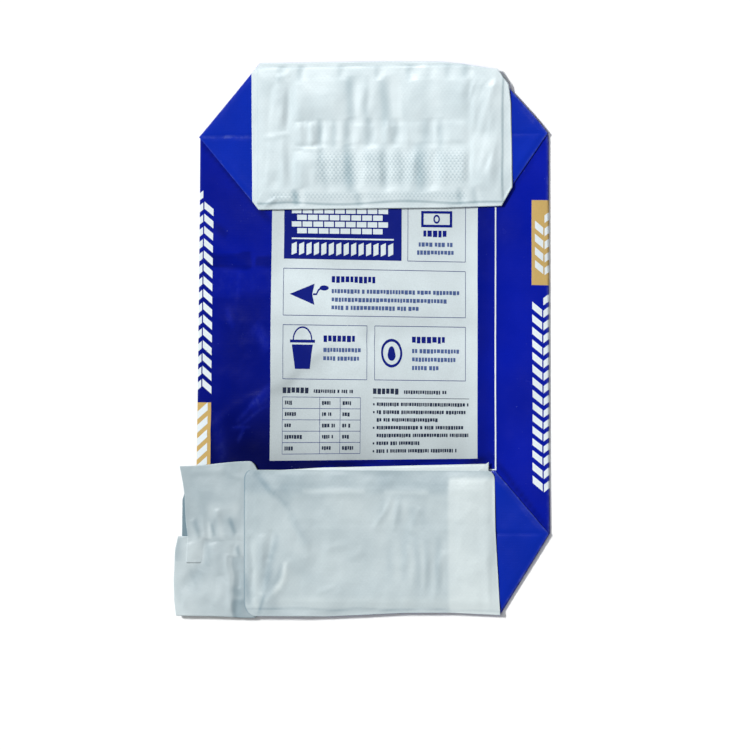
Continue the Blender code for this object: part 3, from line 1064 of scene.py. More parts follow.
# Herringbone blocks in mm: pitch and height, width of a column, gap beside it, and climb
BLOCK_PITCH, BLOCK_HEIGHT, COLUMN_WIDTH, COLUMN_GAP, BLOCK_CLIMB = 12.0, 7.0, 12.0, 0.8, 0.62


def herringbone(left, right, low, high):
    """Blocks that slant up and down in turn from column to column."""
    marks = []
    columns = max(2, int(round((right - left) / COLUMN_WIDTH)))
    width = (right - left) / columns
    for column in range(columns):
        climb = BLOCK_CLIMB if column % 2 else -BLOCK_CLIMB
        start, end = left + width * column + COLUMN_GAP, left + width * (column + 1) - COLUMN_GAP
        for y in np.arange(low + width * max(-climb, 0.0), high - BLOCK_HEIGHT, BLOCK_PITCH):
            marks.append(slanted(start, end, y, BLOCK_HEIGHT, climb))
    return marks


def build_print():
    """All that is printed on the panel, beside it and round the side folds."""
    tone = colours()
    rng = np.random.default_rng(1203)
    bright = film("bright_film", tone.bright)
    lay_print("panel_ink", panel_marks(rng), film("blue_ink", tone.ink))
    lay_print("panel_rules", ruled_lines(), film("rule_ink", tone.rule_ink))
    lay_print("panel_small_rows", small_rows(rng), film("small_ink", tone.small_ink))
    lay_print("panel_dark_rows", dark_rows(rng), film("dark_ink", tone.dark_ink))
    lay_print("title_marks", title_marks(), film("white_film", tone.white), 2)
    frame_line = [band(157.6, 159.3, -126.5, 135.0), band(147.5, 157.8, -126.5, -125.3)]
    lay_print("frame_line", frame_line, bright)
    blocks = [band(204.5, 247.0, 52.4, 130.9), band(-243.0, -206.5, -140.0, -62.8)]
    lay_print("side_blocks", blocks, film("tan_film", tone.tan))
    on_blocks = herringbone(208.0, 244.0, 62.0, 124.0) + herringbone(-240.0, -210.0, -126.0, -70.0)
    lay_print("block_bars", on_blocks, bright, 2)
    on_sides = herringbone(204.5, 246.0, -147.0, 42.0) + herringbone(-246.0, -205.5, -56.0, 134.0)
    lay_print("side_bars", on_sides, bright)


# The plain end's patch


def sheet_grid(share, rise, left, right, low_edge, high_edge):
    """Lay a grid between two sides, then between two edges that are given along x.

    It returns the places and how far each is from its side and from the rim.
    """
    x = left + (right - left) * share
    low, high = curve(low_edge, x), curve(high_edge, x)
    y = low + (high - low) * rise
    to_side = np.minimum(share, 1.0 - share) * (right - left)
    to_rim = np.minimum(to_side, np.minimum(rise, 1.0 - rise) * (high - low))
    return x, y, to_side, to_rim


PATCH_TOP_EDGE = ((-144.8, 260.9), (20, 260.9), (86, 259.9), (109, 258.1), (140, 254.3), (159.3, 252.2))
PATCH_LOW_EDGE = ((-147.2, 121.6), (0, 121.9), (90, 122), (164.6, 123.4))
PATCH_LEFT = ((122.4, -147.2), (130.3, -155.4), (177.2, -155.8), (250.6, -156.2), (260.3, -144.8))
PATCH_RIGHT = (
    (122.4, 164.6), (141.6, 178.2), (177.2, 177.4), (225.8, 176.0), (244.1, 173.0), (260.3, 159.3),
)
PATCH_LOW, PATCH_HIGH = 122.4 * MM, 260.3 * MM
PATCH_COLUMNS, PATCH_ROWS = 280, 124
# Its height over the fold at the rim, and how much and how far in from there it rises
PATCH_SEAT, PATCH_PUFF, PUFF_REACH = 1.1 * MM, 1.5 * MM, 19.0 * MM
# The inner sheet below the patch, in mm: its left, right and upper edges, and its wavy hem
INNER_LEFT, INNER_RIGHT, INNER_TOP, INNER_HEM = -147.5, 166.5, 255.5, 127.4
INNER_STEP = 0.5 * MM
DEEPEST_GATHER = 1.9 * MM

# Weld pads: (left, right, low, high), softness across and along, and height, all in mm
PADS = (
    ((-97, 121, 210, 238), 6.0, 10.0, 1.5),
    ((-98, 119, 184, 202), 5.0, 3.0, 0.6),
    ((-98, 121, 147, 174), 4.5, 9.0, 1.5),
    ((-131, -110, 202, 236), 5.5, 10.0, 1.3),
    ((-131, -110, 151, 188), 5.5, 10.0, 1.4),
    ((128, 155, 199, 230), 4.5, 12.0, 1.0),
    ((128, 157, 150, 186), 4.5, 10.0, 1.3),
)
# Areas with finer ripples: (left, right, low, high), width and height in mm, lean, seed
RIPPLES = (
    ((-50, 84, 207, 241), 15.0, 0.5, 0.03, 41),
    ((-96, 106, 181, 205), 8.0, 0.5, -0.05, 43),
    ((-88, 100, 142, 178), 12.0, 0.7, 0.10, 47),
    ((-134, -106, 144, 240), 15.0, 1.0, 0.10, 61),
    ((125, 160, 142, 240), 13.0, 1.3, 0.35, 67),
)
# Rows of gathers: high and low end, lean, and each valley's place, width, depth and grey, the painted
# shade of its flank, in mm
GATHER_ROWS = (
    (259, 243, 0.0, (
        (-113, 7, 0.8, 0.4), (-88, 6, 0.9, 0.6), (-36, 6, 0.6, 0.35), (10, 6, 0.8, 0.5),
        (53, 7, 0.8, 0.6), (75, 6, 0.5, 0.3), (101, 7, 0.7, 0.35), (123, 7, 0.8, 0.6),
    )),
    (248, 199, 1.0, (
        (-110, 8, 0.8, 0.0), (-22, 8, 1.9, 0.75), (-2, 5.5, 1.0, 0.3), (25, 11, 1.9, 0.9),
        (76, 12, 0.6, 0.2),
    )),
    (208, 179, 0.5, (
        (-63, 4.5, 1.5, 0.65), (-45, 5, 1.0, 0.5), (-27, 8, 1.7, 0.65), (1, 9, 1.4, 0.45),
        (33, 7, 1.4, 0.35), (74, 9, 1.4, 0.45), (92, 5.5, 1.1, 0.3),
    )),
    (184, 137, 3.0, (
        (-57, 6, 0.7, 0.3), (-22, 11, 1.9, 1.2), (19, 7.5, 1.7, 0.5), (41, 6, 0.7, 0.25),
        (72, 13, 1.9, 0.95),
    )),
    (142, 123, 1.0, (
        (-95, 7, 0.6, 1.3), (-13, 8, 0.6, 0.6), (116, 6, 0.7, 0.6), (134, 5, 0.5, 0.4),
    )),
)
PATCH_CREASES = (
    ((-141, 123), (-122, 132), 2.2, 1.0),
    ((-122, 132), (-104, 131), 2.5, 0.6),
    ((-139, 191), (-104, 193), 3.5, 0.6),
    ((-104, 181), (-60, 179), 2.5, 0.5),
    ((-122, 245), (-104, 252), 4.0, 0.9),
    ((-76, 203), (-72, 184), 4.0, 1.2),
    ((-90, 242), (-90, 205), 8.0, 0.9),
    ((-89, 204), (-89, 183), 8.0, 0.9),
    ((-92, 178), (-90, 142), 6.0, 1.0),
)


def gather_runs():
    """The valleys of the gathers as runs, and the painted shade and highlights of their flanks as runs.

    The flank away from the key light is painted greyer, and the other one paler.
    """
    valleys, flanks = [], []
    for high, low, lean, folds in GATHER_ROWS:
        for place, width, depth, grey in folds:
            valley = (valleys, 0.0, 1.0, -depth)
            shaded, lit = (flanks, -0.7, 0.55, grey), (flanks, 0.7, 0.55, -0.6 * grey)
            for runs, shift, share, height in (valley, shaded, lit):
                middle = place + shift * width
                runs.append(((middle - lean, high), (middle + lean, low), share * width, height))
    return valleys, flanks


def pads_and_gathers(x, y, valleys):
    """Soft weld pads with uneven rims, and the gathers across them."""
    warped_x = x + 2.2 * MM * lattice_noise(x, y, 0.022, 101)
    warped_y = y + 1.6 * MM * lattice_noise(x, y, 0.019, 103)
    total = np.zeros_like(x)
    for (left, right, low, high), soft_x, soft_y, height in PADS:
        across = window(warped_x / MM, left, right, soft_x)
        total = total + height * MM * across * window(warped_y / MM, low, high, soft_y)
    total = total * (1.0 - 0.5 * window(x / MM, -45, 105, 15))
    for box, cell, height, lean, seed in RIPPLES:
        across = x - lean * (y - box[2] * MM)
        wave = lattice_noise(across, y * 0.22, cell * MM, seed)
        wave = wave + 0.3 * lattice_noise(across, y * 0.4, cell * MM / 2, seed + 1)
        total = total + height * MM * wave * box_window(warped_x, warped_y, box, 5.0)
    total = total + np.maximum(ridges(x, y, valleys, 1.0), -DEEPEST_GATHER)
    return total + ridges(x, y, PATCH_CREASES) + 0.30 * MM * layered_noise(x, y, 0.022, 71)


def build_plain_end_patch():
    """The plain end's patch: a chamfered sheet, seated on the fold and puffed inside.

    Its height is the fold below it, a body that rises from the rim, the inner
    sheet's step, the weld pads and their gathers.
    """
    share, rise = np.meshgrid(np.linspace(0.0, 1.0, PATCH_COLUMNS), np.linspace(0.0, 1.0, PATCH_ROWS))
    row = PATCH_LOW + (PATCH_HIGH - PATCH_LOW) * rise
    left, right = curve(PATCH_LEFT, row), curve(PATCH_RIGHT, row)
    x, y, _, to_rim = sheet_grid(share, rise, left, right, PATCH_LOW_EDGE, PATCH_TOP_EDGE)
    hem = INNER_HEM + 1.3 * np.sin(x / 0.026) * window(x / MM, -120, 120, 20)
    inner = window(x / MM, INNER_LEFT, INNER_RIGHT, 0.7) * window(y / MM, hem, INNER_TOP, 0.7)
    valleys, flanks = gather_runs()
    z = tube_rise(x, y) + POCKET_BODY + PATCH_SEAT + PATCH_PUFF * smooth_step(0.0, PUFF_REACH, to_rim)
    z = z + INNER_STEP * inner + pads_and_gathers(x, y, valleys) * smooth_step(0.0, 0.005, to_rim)
    weave = 0.15 + 0.85 * box_window(x, y, (-70, 122, 146, 175), 6.0)
    weave = np.maximum(weave, 0.8 * box_window(x, y, (-130, 122, 130, 138), 3.0))
    strong = np.minimum(np.abs(x / MM - INNER_RIGHT), np.abs(y / MM - hem))
    faint = np.minimum(np.abs(x / MM - INNER_LEFT), np.abs(y / MM - INNER_TOP - 0.5))
    line = np.maximum(1.3 * np.exp(-(strong**2)), 0.6 * np.exp(-(faint**2)))
    line = line * window(x / MM, INNER_LEFT - 1.5, INNER_RIGHT + 1.5, 0.7)
    line = line * window(y / MM, INNER_HEM - 2.4, INNER_TOP + 2.0, 0.7)
    # Grey lines along the inner sheet's edges, random tone, and the gathers' painted shade and highlights
    grey = line + 0.18 * layered_noise(x, y, 0.030, 163) + ridges(x, y, flanks) / MM
    tone = colours()
    material = fabric("white_patch", tone.patch, tone.patch_shade, 0.4)
    made = open_sheet("plain_end_patch", x, y, z, sizes().patch_sheet, (("weave", weave), ("painted_shade_and_tone", grey)))
    dress(made, [material], "coated_weave", "top_cover_patch")


# The sleeve end's patch

LOW_PATCH_LOW, LOW_PATCH_HIGH = -262.0 * MM, -125.5 * MM
LOW_PATCH_LEFT = -164.6 * MM
LOW_PATCH_SEAT, OVER_SLEEVE = 1.2 * MM, 1.25 * MM
LOW_PATCH_RIGHT = ((-262, 162.5), (-182, 156.6), (-125, 155.5))
# Steps of its panes and of its hem: (left, right, low, high), softness and height in mm
PANES = (
    ((97, 156, -256, -137), 4.5, 0.22),
    ((-150, 150, -252, -142), 2.5, 0.25),
    ((-110, 150, -179, -174), 3.0, -0.12),
    ((-170, 152, -257, -127), 1.2, 0.20),
)
# Its paler places, the upper two a painted highlight band: the same, with how much greyer they are
PALE_PLACES = (
    ((-88, -8, -147.5, -143.5), 2.0, -0.35),
    ((16, 74, -148, -144), 2.0, -0.35),
    ((-120, 150, -256, -246), 4.0, -0.21),
)
LOW_PATCH_WRINKLES = (
    ((-88, -148), (-8, -146), 4.5, 0.5),
    ((18, -147), (74, -147), 4.5, 0.4),
    ((4, -182), (26, -150), 4.0, 0.6),
    ((30, -182), (34, -150), 4.0, 0.55),
    ((50, -186), (62, -160), 5.0, 0.6),
    ((40, -220), (48, -196), 5.0, 0.5),
    ((66, -246), (74, -196), 5.0, 0.6),
    ((80, -246), (92, -200), 5.0, 0.6),
    ((-64, -200), (-30, -196), 4.0, 0.4),
    ((-30, -210), (-8, -202), 5.0, 0.5),
    ((-70, -241), (-46, -236), 3.0, 0.3),
    ((120, -160), (150, -174), 6.0, 0.4),
    ((-158, -190), (-152, -226), 3.5, -0.6),
    ((-152, -220), (-157, -258), 3.5, -0.6),
    ((-142, -188), (-139, -228), 5.0, 0.8),
    ((-129, -183), (-134, -214), 4.0, -0.6),
    ((-134, -208), (-142, -244), 4.0, -0.6),
    ((-104, -210), (-118, -242), 3.5, 0.55),
    ((-118, -238), (-138, -252), 3.5, 0.5),
    ((-138, -126), (-112, -160), 5.0, 0.5),
    ((-114, -156), (-78, -200), 4.0, 0.45),
    ((-106, -170), (-84, -208), 4.0, -0.45),
)
# Upper edge of the inner sheet that looks out above the patch, in mm
INNER_EDGE = ((-150, -126.5), (-110, -125.2), (-67, -123.1), (144, -118.9))
# Painted shade and painted highlights in streaks: of its folds over the sleeve's inner part, and soft ones
# along the bag
LOW_PATCH_STREAKS = (
    ((-152, -127), (-123, -149), 3.5, 0.4),
    ((-126, -146), (-105, -165), 3.5, 0.42),
    ((-118, -140), (-104, -158), 7.0, 0.35),
    ((-107, -163), (-78, -197), 4.0, 0.3),
    ((-118, -186), (-130, -212), 5.5, 0.45),
    ((-129, -206), (-135, -248), 5.5, 0.45),
    ((-153, -192), (-146, -248), 6.0, -0.4),
    ((-162, -224), (-160, -254), 4.0, 0.5),
    ((-108, -212), (-112, -231), 3.0, -0.5),
    ((-111, -229), (-127, -243), 3.0, -0.5),
    ((-112, -214), (-129, -242), 3.0, 0.4),
    ((-151, -246), (-148, -260), 4.0, -0.5),
    ((-147, -264), (-137, -243), 2.0, 0.6),
    ((14, -150), (8, -176), 4.0, 0.22),
    ((33, -150), (35, -176), 4.0, 0.18),
    ((53, -158), (56, -180), 4.0, 0.16),
    ((66, -160), (66, -184), 4.0, 0.16),
    ((22, -186), (24, -236), 4.0, 0.16),
    ((43, -186), (42, -232), 4.0, 0.18),
    ((58, -184), (61, -240), 4.0, 0.18),
    ((71, -190), (71, -240), 3.5, 0.18),
    ((86, -186), (84, -244), 4.0, 0.24),
    ((26, -152), (23, -176), 4.0, -0.22),
    ((43, -152), (44, -176), 4.0, -0.18),
    ((33, -188), (33, -232), 4.0, -0.18),
    ((51, -188), (51, -236), 4.0, -0.18),
    ((66, -190), (66, -238), 3.5, -0.22),
    ((79, -188), (78, -242), 3.5, -0.16),
    ((94, -190), (93, -240), 3.5, -0.16),
)


def corner_inset(place, low, high, radius):
    """How far a side moves in at rounded corners: the radius less the circle's reach."""
    off = np.clip(radius - np.minimum(place - low, high - place), 0.0, radius)
    return radius - np.sqrt(radius**2 - off**2)


def low_patch_rise(x, y):
    """Height of the smooth patch: its panes, hem and soft wrinkles."""
    total = MM * soft_boxes(x, y, PANES) + ridges(x, y, LOW_PATCH_WRINKLES)
    total = total + 0.70 * MM * layered_noise(x, y, 0.042, 83)
    return total + 0.25 * MM * layered_noise(x, y, 0.018, 89)


def low_patch_painted_shade(x, y):
    """How grey the smooth patch is: painted shade, most near its upper edge and least in its right pane,
    painted highlights and creases, and a dark hem line.
    """
    grey = 0.53 + 0.10 * smooth_step(-0.205, -0.160, y) + 0.42 * smooth_step(-0.153, -0.141, y)
    grey = grey + 0.12 * smooth_step(-0.060, -0.150, x)
    grey = grey * (1.0 - 0.93 * box_window(x, y, (99, 170, -270, -132), 3.5))
    grey = grey + soft_boxes(x, y, PALE_PLACES) + ridges(x, y, LOW_PATCH_STREAKS) / MM
    grey = grey + 0.18 * layered_noise(x + 0.4 * y, y, 0.055, 131)
    hem = y / MM + 256.8 + 1.6 * lattice_noise(x, 0.0 * x, 0.040, 149)
    return grey + (0.4 + 0.2 * lattice_noise(x, y, 0.030, 157)) * np.exp(-((hem / 0.9) ** 2))


def build_inner_sheet(material):
    """The inner sheet's edge above the patch, and its corner folded back as an ear."""
    thickness = sizes().patch_sheet
    x, share = np.meshgrid(np.arange(-0.148, 0.1461, 2.4 * MM), np.linspace(0.0, 1.0, 6))
    low, high = -131.0 * MM, curve(INNER_EDGE, x)
    y = low + (high - low) * share
    z = tube_rise(x, y) + POCKET_BODY + 0.7 * MM - 0.3 * MM * smooth_step(0.7, 1.0, share)
    edge = open_sheet("inner_sheet_edge", x, y, z, thickness, (("weave", 0.1),))
    u, v = np.meshgrid(np.linspace(0.0, 1.0, 9), np.linspace(0.0, 1.0, 9))
    x = (130.7 + 17.6 * (u + (1.0 - u) * v)) * MM
    y = (-127.5 + 10.4 * v) * MM
    z = tube_rise(x, y) + POCKET_BODY + 0.4 * MM + 0.9 * MM * smooth_step(0.0, 0.3, v)
    ear = open_sheet("inner_sheet_ear", x, y, z, thickness, (("weave", 0.1),))
    for piece in (edge, ear):
        dress(piece, [material], "smooth_patch")
    return [edge, ear]


def build_sleeve_end_patch():
    """The sleeve end's patch, with rounded corners, over the fold and the sleeve."""
    share, rise = np.meshgrid(edge_spaced(0.0, 1.0, 0.0043, 0.010), edge_spaced(0.0, 1.0, 0.0105, 0.04))
    row = LOW_PATCH_LOW + (LOW_PATCH_HIGH - LOW_PATCH_LOW) * rise
    left = LOW_PATCH_LEFT + corner_inset(row, LOW_PATCH_LOW, LOW_PATCH_HIGH + 0.02, 14.0 * MM)
    left = left + corner_inset(row, LOW_PATCH_LOW - 0.02, LOW_PATCH_HIGH, 9.0 * MM)
    right = curve(LOW_PATCH_RIGHT, row)
    right = right - corner_inset(row, LOW_PATCH_LOW - 0.02, LOW_PATCH_HIGH, 8.0 * MM)
    top_edge = ((0.0, LOW_PATCH_HIGH / MM),)
    x, y, to_side, to_rim = sheet_grid(share, rise, left, right, SLEEVE_BOW, top_edge)
    over_sleeve = smooth_step(0.060, 0.095, -x)
    body = OVER_SLEEVE * over_sleeve + (0.9 - 0.5 * over_sleeve) * MM * smooth_step(0.0, 0.014, to_rim)
    z = tube_rise(x, y) + POCKET_BODY + LOW_PATCH_SEAT + body
    z = z + low_patch_rise(x, y) * smooth_step(0.0, 0.005, to_rim)
    # A painted shade line along the patch's left rim, where it lies over the sleeve
    rim = np.exp(-((to_side / (1.0 * MM)) ** 2)) * smooth_step(0.100, 0.140, -x)
    grey = low_patch_painted_shade(x, y) + 1.5 * rim
    tone = colours()
    material = fabric("grey_patch", tone.low_patch, tone.low_patch_shade, 0.3)
    made = open_sheet("sleeve_end_patch", x, y, z, sizes().patch_sheet, (("weave", 0.06), ("painted_shade_and_tone", grey)))
    dress(made, [material], "smooth_patch", "bottom_cover_patch")
    inner = build_inner_sheet(material)


# The filling sleeve

SLEEVE_TOP_Y, SLEEVE_LOW_Y = -122.5 * MM, -265.0 * MM
SEAM_UPPER_Y, SEAM_LOWER_Y = -214.5 * MM, -189.0 * MM
SLEEVE_INNER = -85.0 * MM
SLEEVE_COLUMNS = 132
SLEEVE_FOLD = 0.55 * MM
SLEEVE_BASE = 3.25 * MM
# The lip's line, by place along the bag in mm: of the upper flap, the lower flap and the underside
UPPER_LIP = (
    (-214.5, -239.0), (-189, -237.4), (-175, -239.8), (-150, -241.2), (-137, -243.8), (-122.5, -247.4),
)
LOWER_LIP = ((-265, -253.2), (-250, -255.8), (-230, -256.2), (-201, -254.0), (-189, -250.4))
UNDER_LIP = (
    (-265, -252.8), (-230, -254.8), (-196, -250), (-189, -248.0), (-154, -247.4), (-145, -243.0),
    (-122.5, -245.0),
)
SLEEVE_WRINKLES = (
    ((-246, -129), (-170, -124), 4.0, 0.4),
    ((-250, -160), (-176, -150), 16.0, 0.8),
    ((-206, -163), (-170, -163), 8.0, 0.4),
    ((-232, -172), (-222, -192), 3.5, 0.8),
    ((-199, -162), (-197, -194), 4.0, 1.0),
    ((-215, -192), (-222, -222), 6.0, -0.9),
    ((-222, -222), (-246, -240), 7.0, -0.7),
    ((-234, -196), (-230, -212), 6.0, 0.7),
    ((-205, -196), (-196, -226), 8.0, 0.9),
    ((-180, -196), (-172, -238), 4.5, -0.9),
    ((-172, -222), (-178, -275), 4.5, -0.9),
    ((-186, -204), (-183, -262), 4.0, 0.8),
    ((-246, -252), (-200, -238), 9.0, 0.7),
    ((-202, -256), (-188, -232), 6.0, 0.5),
    ((-186, -128), (-160, -136), 4.0, 0.6),
)
# Painted shade and painted highlights in streaks along the sleeve's folds
SLEEVE_STREAKS = (
    ((-214, -192), (-210, -218), 6.0, 0.7),
    ((-210, -214), (-232, -230), 9.0, 0.55),
    ((-228, -226), (-256, -246), 11.0, 0.45),
    ((-250, -190), (-252, -214), 6.0, 0.7),
    ((-230, -172), (-222, -191), 3.5, 0.8),
    ((-240, -180), (-236, -191), 4.0, 0.5),
    ((-207, -177), (-203, -190), 2.5, 0.6),
    ((-184, -171), (-175, -188), 3.5, 0.8),
    ((-211, -175), (-209, -193), 2.5, -0.5),
    ((-196, -170), (-194, -192), 4.0, -0.5),
    ((-174, -198), (-171, -210), 3.0, 0.9),
    ((-183, -237), (-170, -246), 5.0, 0.35),
)
# Its painted highlight spot, and the painted shaded band beside the patch: (left, right, low, high),
# softness, grey
PALE_SPOT = (((-211, -172, -171, -158), 5.0, -0.55),)
SHADED_BAND = (((-179.5, -150, -275, -208.8), 1.6, 0.6), ((-178, -140, -275, -249), 2.5, 0.6))


def sleeve_painted_shade(x, y, upper, lower):
    """How grey the sleeve is: painted shade on its upper half and in the hollows near the seam, and a
    painted highlight spot.

    Next to the patch runs a painted shaded band, which is darkest at its lower end.
    """
    grey = 0.10 + 0.62 * smooth_step(-0.196, -0.165, y) + soft_boxes(x, y, PALE_SPOT)
    wavered = x + 2.0 * MM * lattice_noise(y, 0.0 * y, 0.014, 139)
    grey = grey + soft_boxes(wavered, y, SHADED_BAND) + ridges(x, y, SLEEVE_STREAKS) / MM
    grey = grey + 0.25 * layered_noise(x, y, 0.030, 137)
    # Painted shade on the inner layer that shows between the flaps at the mouth
    hidden = (1.0 - np.maximum(upper, lower)) * window(y / MM, -200, -140, 8)
    return grey + 1.9 * hidden


def sleeve_section():
    """The flat tube's section along Y and Z, with marks for its upper and lower flap.

    It starts at the upper flap's free edge, turns round two half circles and
    ends under that flap, so the two flaps overlap.
    """
    step = 1.2 * MM

    def run(start, end):
        return np.linspace(start, end, int(abs(end - start) / step))

    upper_y = run(SEAM_UPPER_Y, SLEEVE_TOP_Y - SLEEVE_FOLD)[:-1]
    under_y = run(SLEEVE_TOP_Y - SLEEVE_FOLD, SLEEVE_LOW_Y + SLEEVE_FOLD)[1:-1]
    lower_y = run(SLEEVE_LOW_Y + SLEEVE_FOLD, SEAM_LOWER_Y)[1:]
    over = np.linspace(math.pi / 2, -math.pi / 2, 9)
    back = np.linspace(-math.pi / 2, -math.pi * 1.5, 9)
    turn_y = SLEEVE_TOP_Y - SLEEVE_FOLD + SLEEVE_FOLD * np.cos(over)
    back_y = SLEEVE_LOW_Y + SLEEVE_FOLD + SLEEVE_FOLD * np.cos(back)
    rise = [np.ones(len(upper_y)), np.sin(over), -np.ones(len(under_y)), np.sin(back)]
    rise = np.concatenate([*rise, np.ones(len(lower_y))])
    section_y = np.concatenate([upper_y, turn_y, under_y, back_y, lower_y])
    section_z = SLEEVE_BASE + SLEEVE_FOLD * (1.0 + rise)
    upper = np.arange(len(section_y)) < len(upper_y) + 4
    lower = np.arange(len(section_y)) >= len(section_y) - len(lower_y) - 4
    return section_y, section_z, upper, lower


def build_sleeve():
    """The filling sleeve: one sheet wrapped into a flat tube with a lapped seam.

    Across, each row runs from its lip to the hidden inner end. The lip's line
    depends on the layer, the far part sags past the bag's edge, and the upper
    side carries the wrinkles. Away from the lip, the seam is welded down.
    """
    section_y, section_z, upper, lower = sleeve_section()
    share, y = np.meshgrid(np.linspace(0.0, 1.0, SLEEVE_COLUMNS), section_y)
    upper, lower = upper[:, None], lower[:, None]
    lip = np.where(upper, curve(UPPER_LIP, y), np.where(lower, curve(LOWER_LIP, y), curve(UNDER_LIP, y)))
    x = lip + (SLEEVE_INNER - lip) * share
    near_shoulder = smooth_step(-0.160, -0.1225, y) * smooth_step(0.148, 0.158, -x)
    lying_y = y + 5.0 * MM * near_shoulder * smooth_step(0.246, 0.158, -x)
    shoulder = np.exp(-(((x + 0.158) / 0.030) ** 2))
    lying_y = lying_y - 1.2 * MM * smooth_step(0.225, 0.265, -y) * shoulder
    hidden = smooth_step(-0.153, -0.145, x)
    lying_y = lying_y - 6.0 * MM * hidden * smooth_step(-0.160, -0.1225, y)
    lying_y = lying_y + 4.0 * MM * hidden * smooth_step(-0.230, -0.265, y)
    past_seam = np.minimum(lying_y + 0.186, 0.0) * upper * smooth_step(-0.2215, -0.2165, x)
    lying_y = lying_y - (0.62 + 0.10 * lattice_noise(x, 0.0 * x, 0.012, 107)) * past_seam
    above = (upper | lower).astype(float)
    free = smooth_step(0.160, 0.172, -x)
    on_bag = smooth_step(0.236, 0.218, -x)
    z = section_z[:, None] + (tube_rise(x, lying_y) - TUBE_TOP) * on_bag
    wrinkles = ridges(x, lying_y, SLEEVE_WRINKLES) + 0.35 * MM * layered_noise(x, lying_y, 0.026, 97, 3)
    gathers = lattice_noise(x + 0.1 * lying_y, 0.25 * lying_y, 0.0065, 109)
    wrinkles = wrinkles + 0.8 * MM * gathers * box_window(x, lying_y, (-222, -172, -194, -170), 6.0)
    z = z + above * free * (0.35 * MM + wrinkles)
    z = z - 0.5 * MM * above * smooth_step(-0.158, -0.150, x)
    z = z + 0.30 * MM * upper * smooth_step(-0.176, -0.190, y)
    welded = smooth_step(-0.228, -0.216, x) * smooth_step(0.192, 0.2145, -y)
    z = z - 0.37 * MM * upper * welded
    below_flap = smooth_step(0.2076, 0.2088, -lying_y) * smooth_step(0.235, 0.210, -lying_y)
    z = z - 0.35 * MM * lower * below_flap * window(x / MM, -186, -160, 1.5)
    z = z + above * 0.9 * MM * free * smooth_step(0.225, 0.250, -x)
    droop = smooth_step(0.228, 0.257, -x)
    z = z - 1.4 * MM * droop * (1.0 - above) - 0.8 * MM * droop * lower
    tone = colours()
    material = fabric("sleeve_fabric", tone.sleeve, tone.sleeve_shade, 0.35)
    values = (("painted_shade_and_tone", sleeve_painted_shade(x, lying_y, upper, lower)[::-1]),)
    made = open_sheet("filling_sleeve", x[::-1], lying_y[::-1], z[::-1], sizes().sleeve_sheet, values)
    dress(made, [material], "sleeve_sheet", "valve_sleeve")


# The stage

SENSOR = 36.0
VIEW_END = 60.0
AIM = Vector((0.0019, -0.0354, 0.0025))
FLOOR_REACH = 15.0
KEY_FROM = (-0.68, 0.40, 0.62)
OVERHEAD_FROM, OVERHEAD_SIZE = (0.5, -0.3, 2.6), 2.0


def floor_material():
    """A pale matt floor with a faint change of tone."""
    material, tree, shader, place = new_material("pale_floor")
    tone = spread(tree, noise(tree, place, 2.0), 0.3, 0.7, 0.98, 1.0)
    white = add_node(tree, "ShaderNodeRGB")
    white.outputs[0].default_value = (0.95, 0.95, 0.95, 1.0)
    tree.links.new(scaled(tree, white.outputs[0], tone), shader.inputs["Base Color"])
    shader.inputs["Roughness"].default_value = 0.9
    return material


def add_light(name, kind, place, energy):
    """A light that points from its place at the bag, and that the camera doesn't see."""
    light = bpy.data.lights.new(name, kind)
    light.energy = energy
    made = add_object(name, light)
    made.location = place
    made.rotation_euler = (-Vector(place)).to_track_quat("-Z", "Y").to_euler()
    made.visible_camera = False
    return light


def pale_world():
    """A pale room that is dimmer on the side that the film mirrors to the camera."""
    world = bpy.data.worlds.new("pale_room")
    world.use_nodes = True
    tree = world.node_tree
    background = tree.nodes["Background"]
    place = tree.nodes.new("ShaderNodeTexCoord")
    parts = add_node(tree, "ShaderNodeSeparateXYZ")
    tree.links.new(place.outputs["Generated"], parts.inputs[0])
    tree.links.new(spread(tree, parts.outputs["X"], -0.7, 0.1, 0.06, 0.36), background.inputs["Strength"])
    background.inputs["Color"].default_value = (0.97, 0.985, 1.0, 1.0)
    bpy.context.scene.world = world


def add_camera(stage):
    """A long lens that looks down at the bag from over its right side."""
    lens = bpy.data.cameras.new("camera")
    lens.sensor_width = SENSOR
    lens.lens = SENSOR * stage.distance / stage.view_size
    lens.clip_end = VIEW_END
    camera = add_object("camera", lens)
    back = Vector((math.cos(stage.tilt), 0.0, math.sin(stage.tilt)))
    right = Vector((math.sin(stage.tilt), 0.0, -math.cos(stage.tilt)))
    turn = Matrix((right, Vector((0.0, 1.0, 0.0)), back)).transposed()
    camera.rotation_euler = turn.to_euler()
    camera.location = AIM + back * stage.distance
    bpy.context.scene.camera = camera


def build_stage():
    """A wide pale floor, two soft lights, a pale world and the camera."""
    stage = bpy.context.scene.valve_bag_stage
    corners = [(x * FLOOR_REACH, y * FLOOR_REACH, 0.0) for x, y in ((-1, -1), (1, -1), (1, 1), (-1, 1))]
    floor = mesh_object("floor", corners, [(0, 1, 2, 3)])
    floor.data.materials.append(floor_material())
    add_light("key", "SUN", KEY_FROM, stage.key_strength).angle = stage.key_angle
    add_light("overhead", "AREA", OVERHEAD_FROM, stage.fill_power).size = OVERHEAD_SIZE
    pale_world()
    add_camera(stage)
    bpy.context.scene.view_settings.view_transform = "Standard"


# Operators, panel and registration


class VALVE_BAG_OT_tube(bpy.types.Operator):
    """Build the flattened tube of printed film"""

    bl_idname = "valve_bag.tube"
    bl_label = "Build tube"

    def execute(self, context):
        build_tube()
        return {"FINISHED"}


class VALVE_BAG_OT_print(bpy.types.Operator):
    """Lay the print on the tube"""

    bl_idname = "valve_bag.print"
    bl_label = "Lay print"

    def execute(self, context):
        build_print()
        return {"FINISHED"}


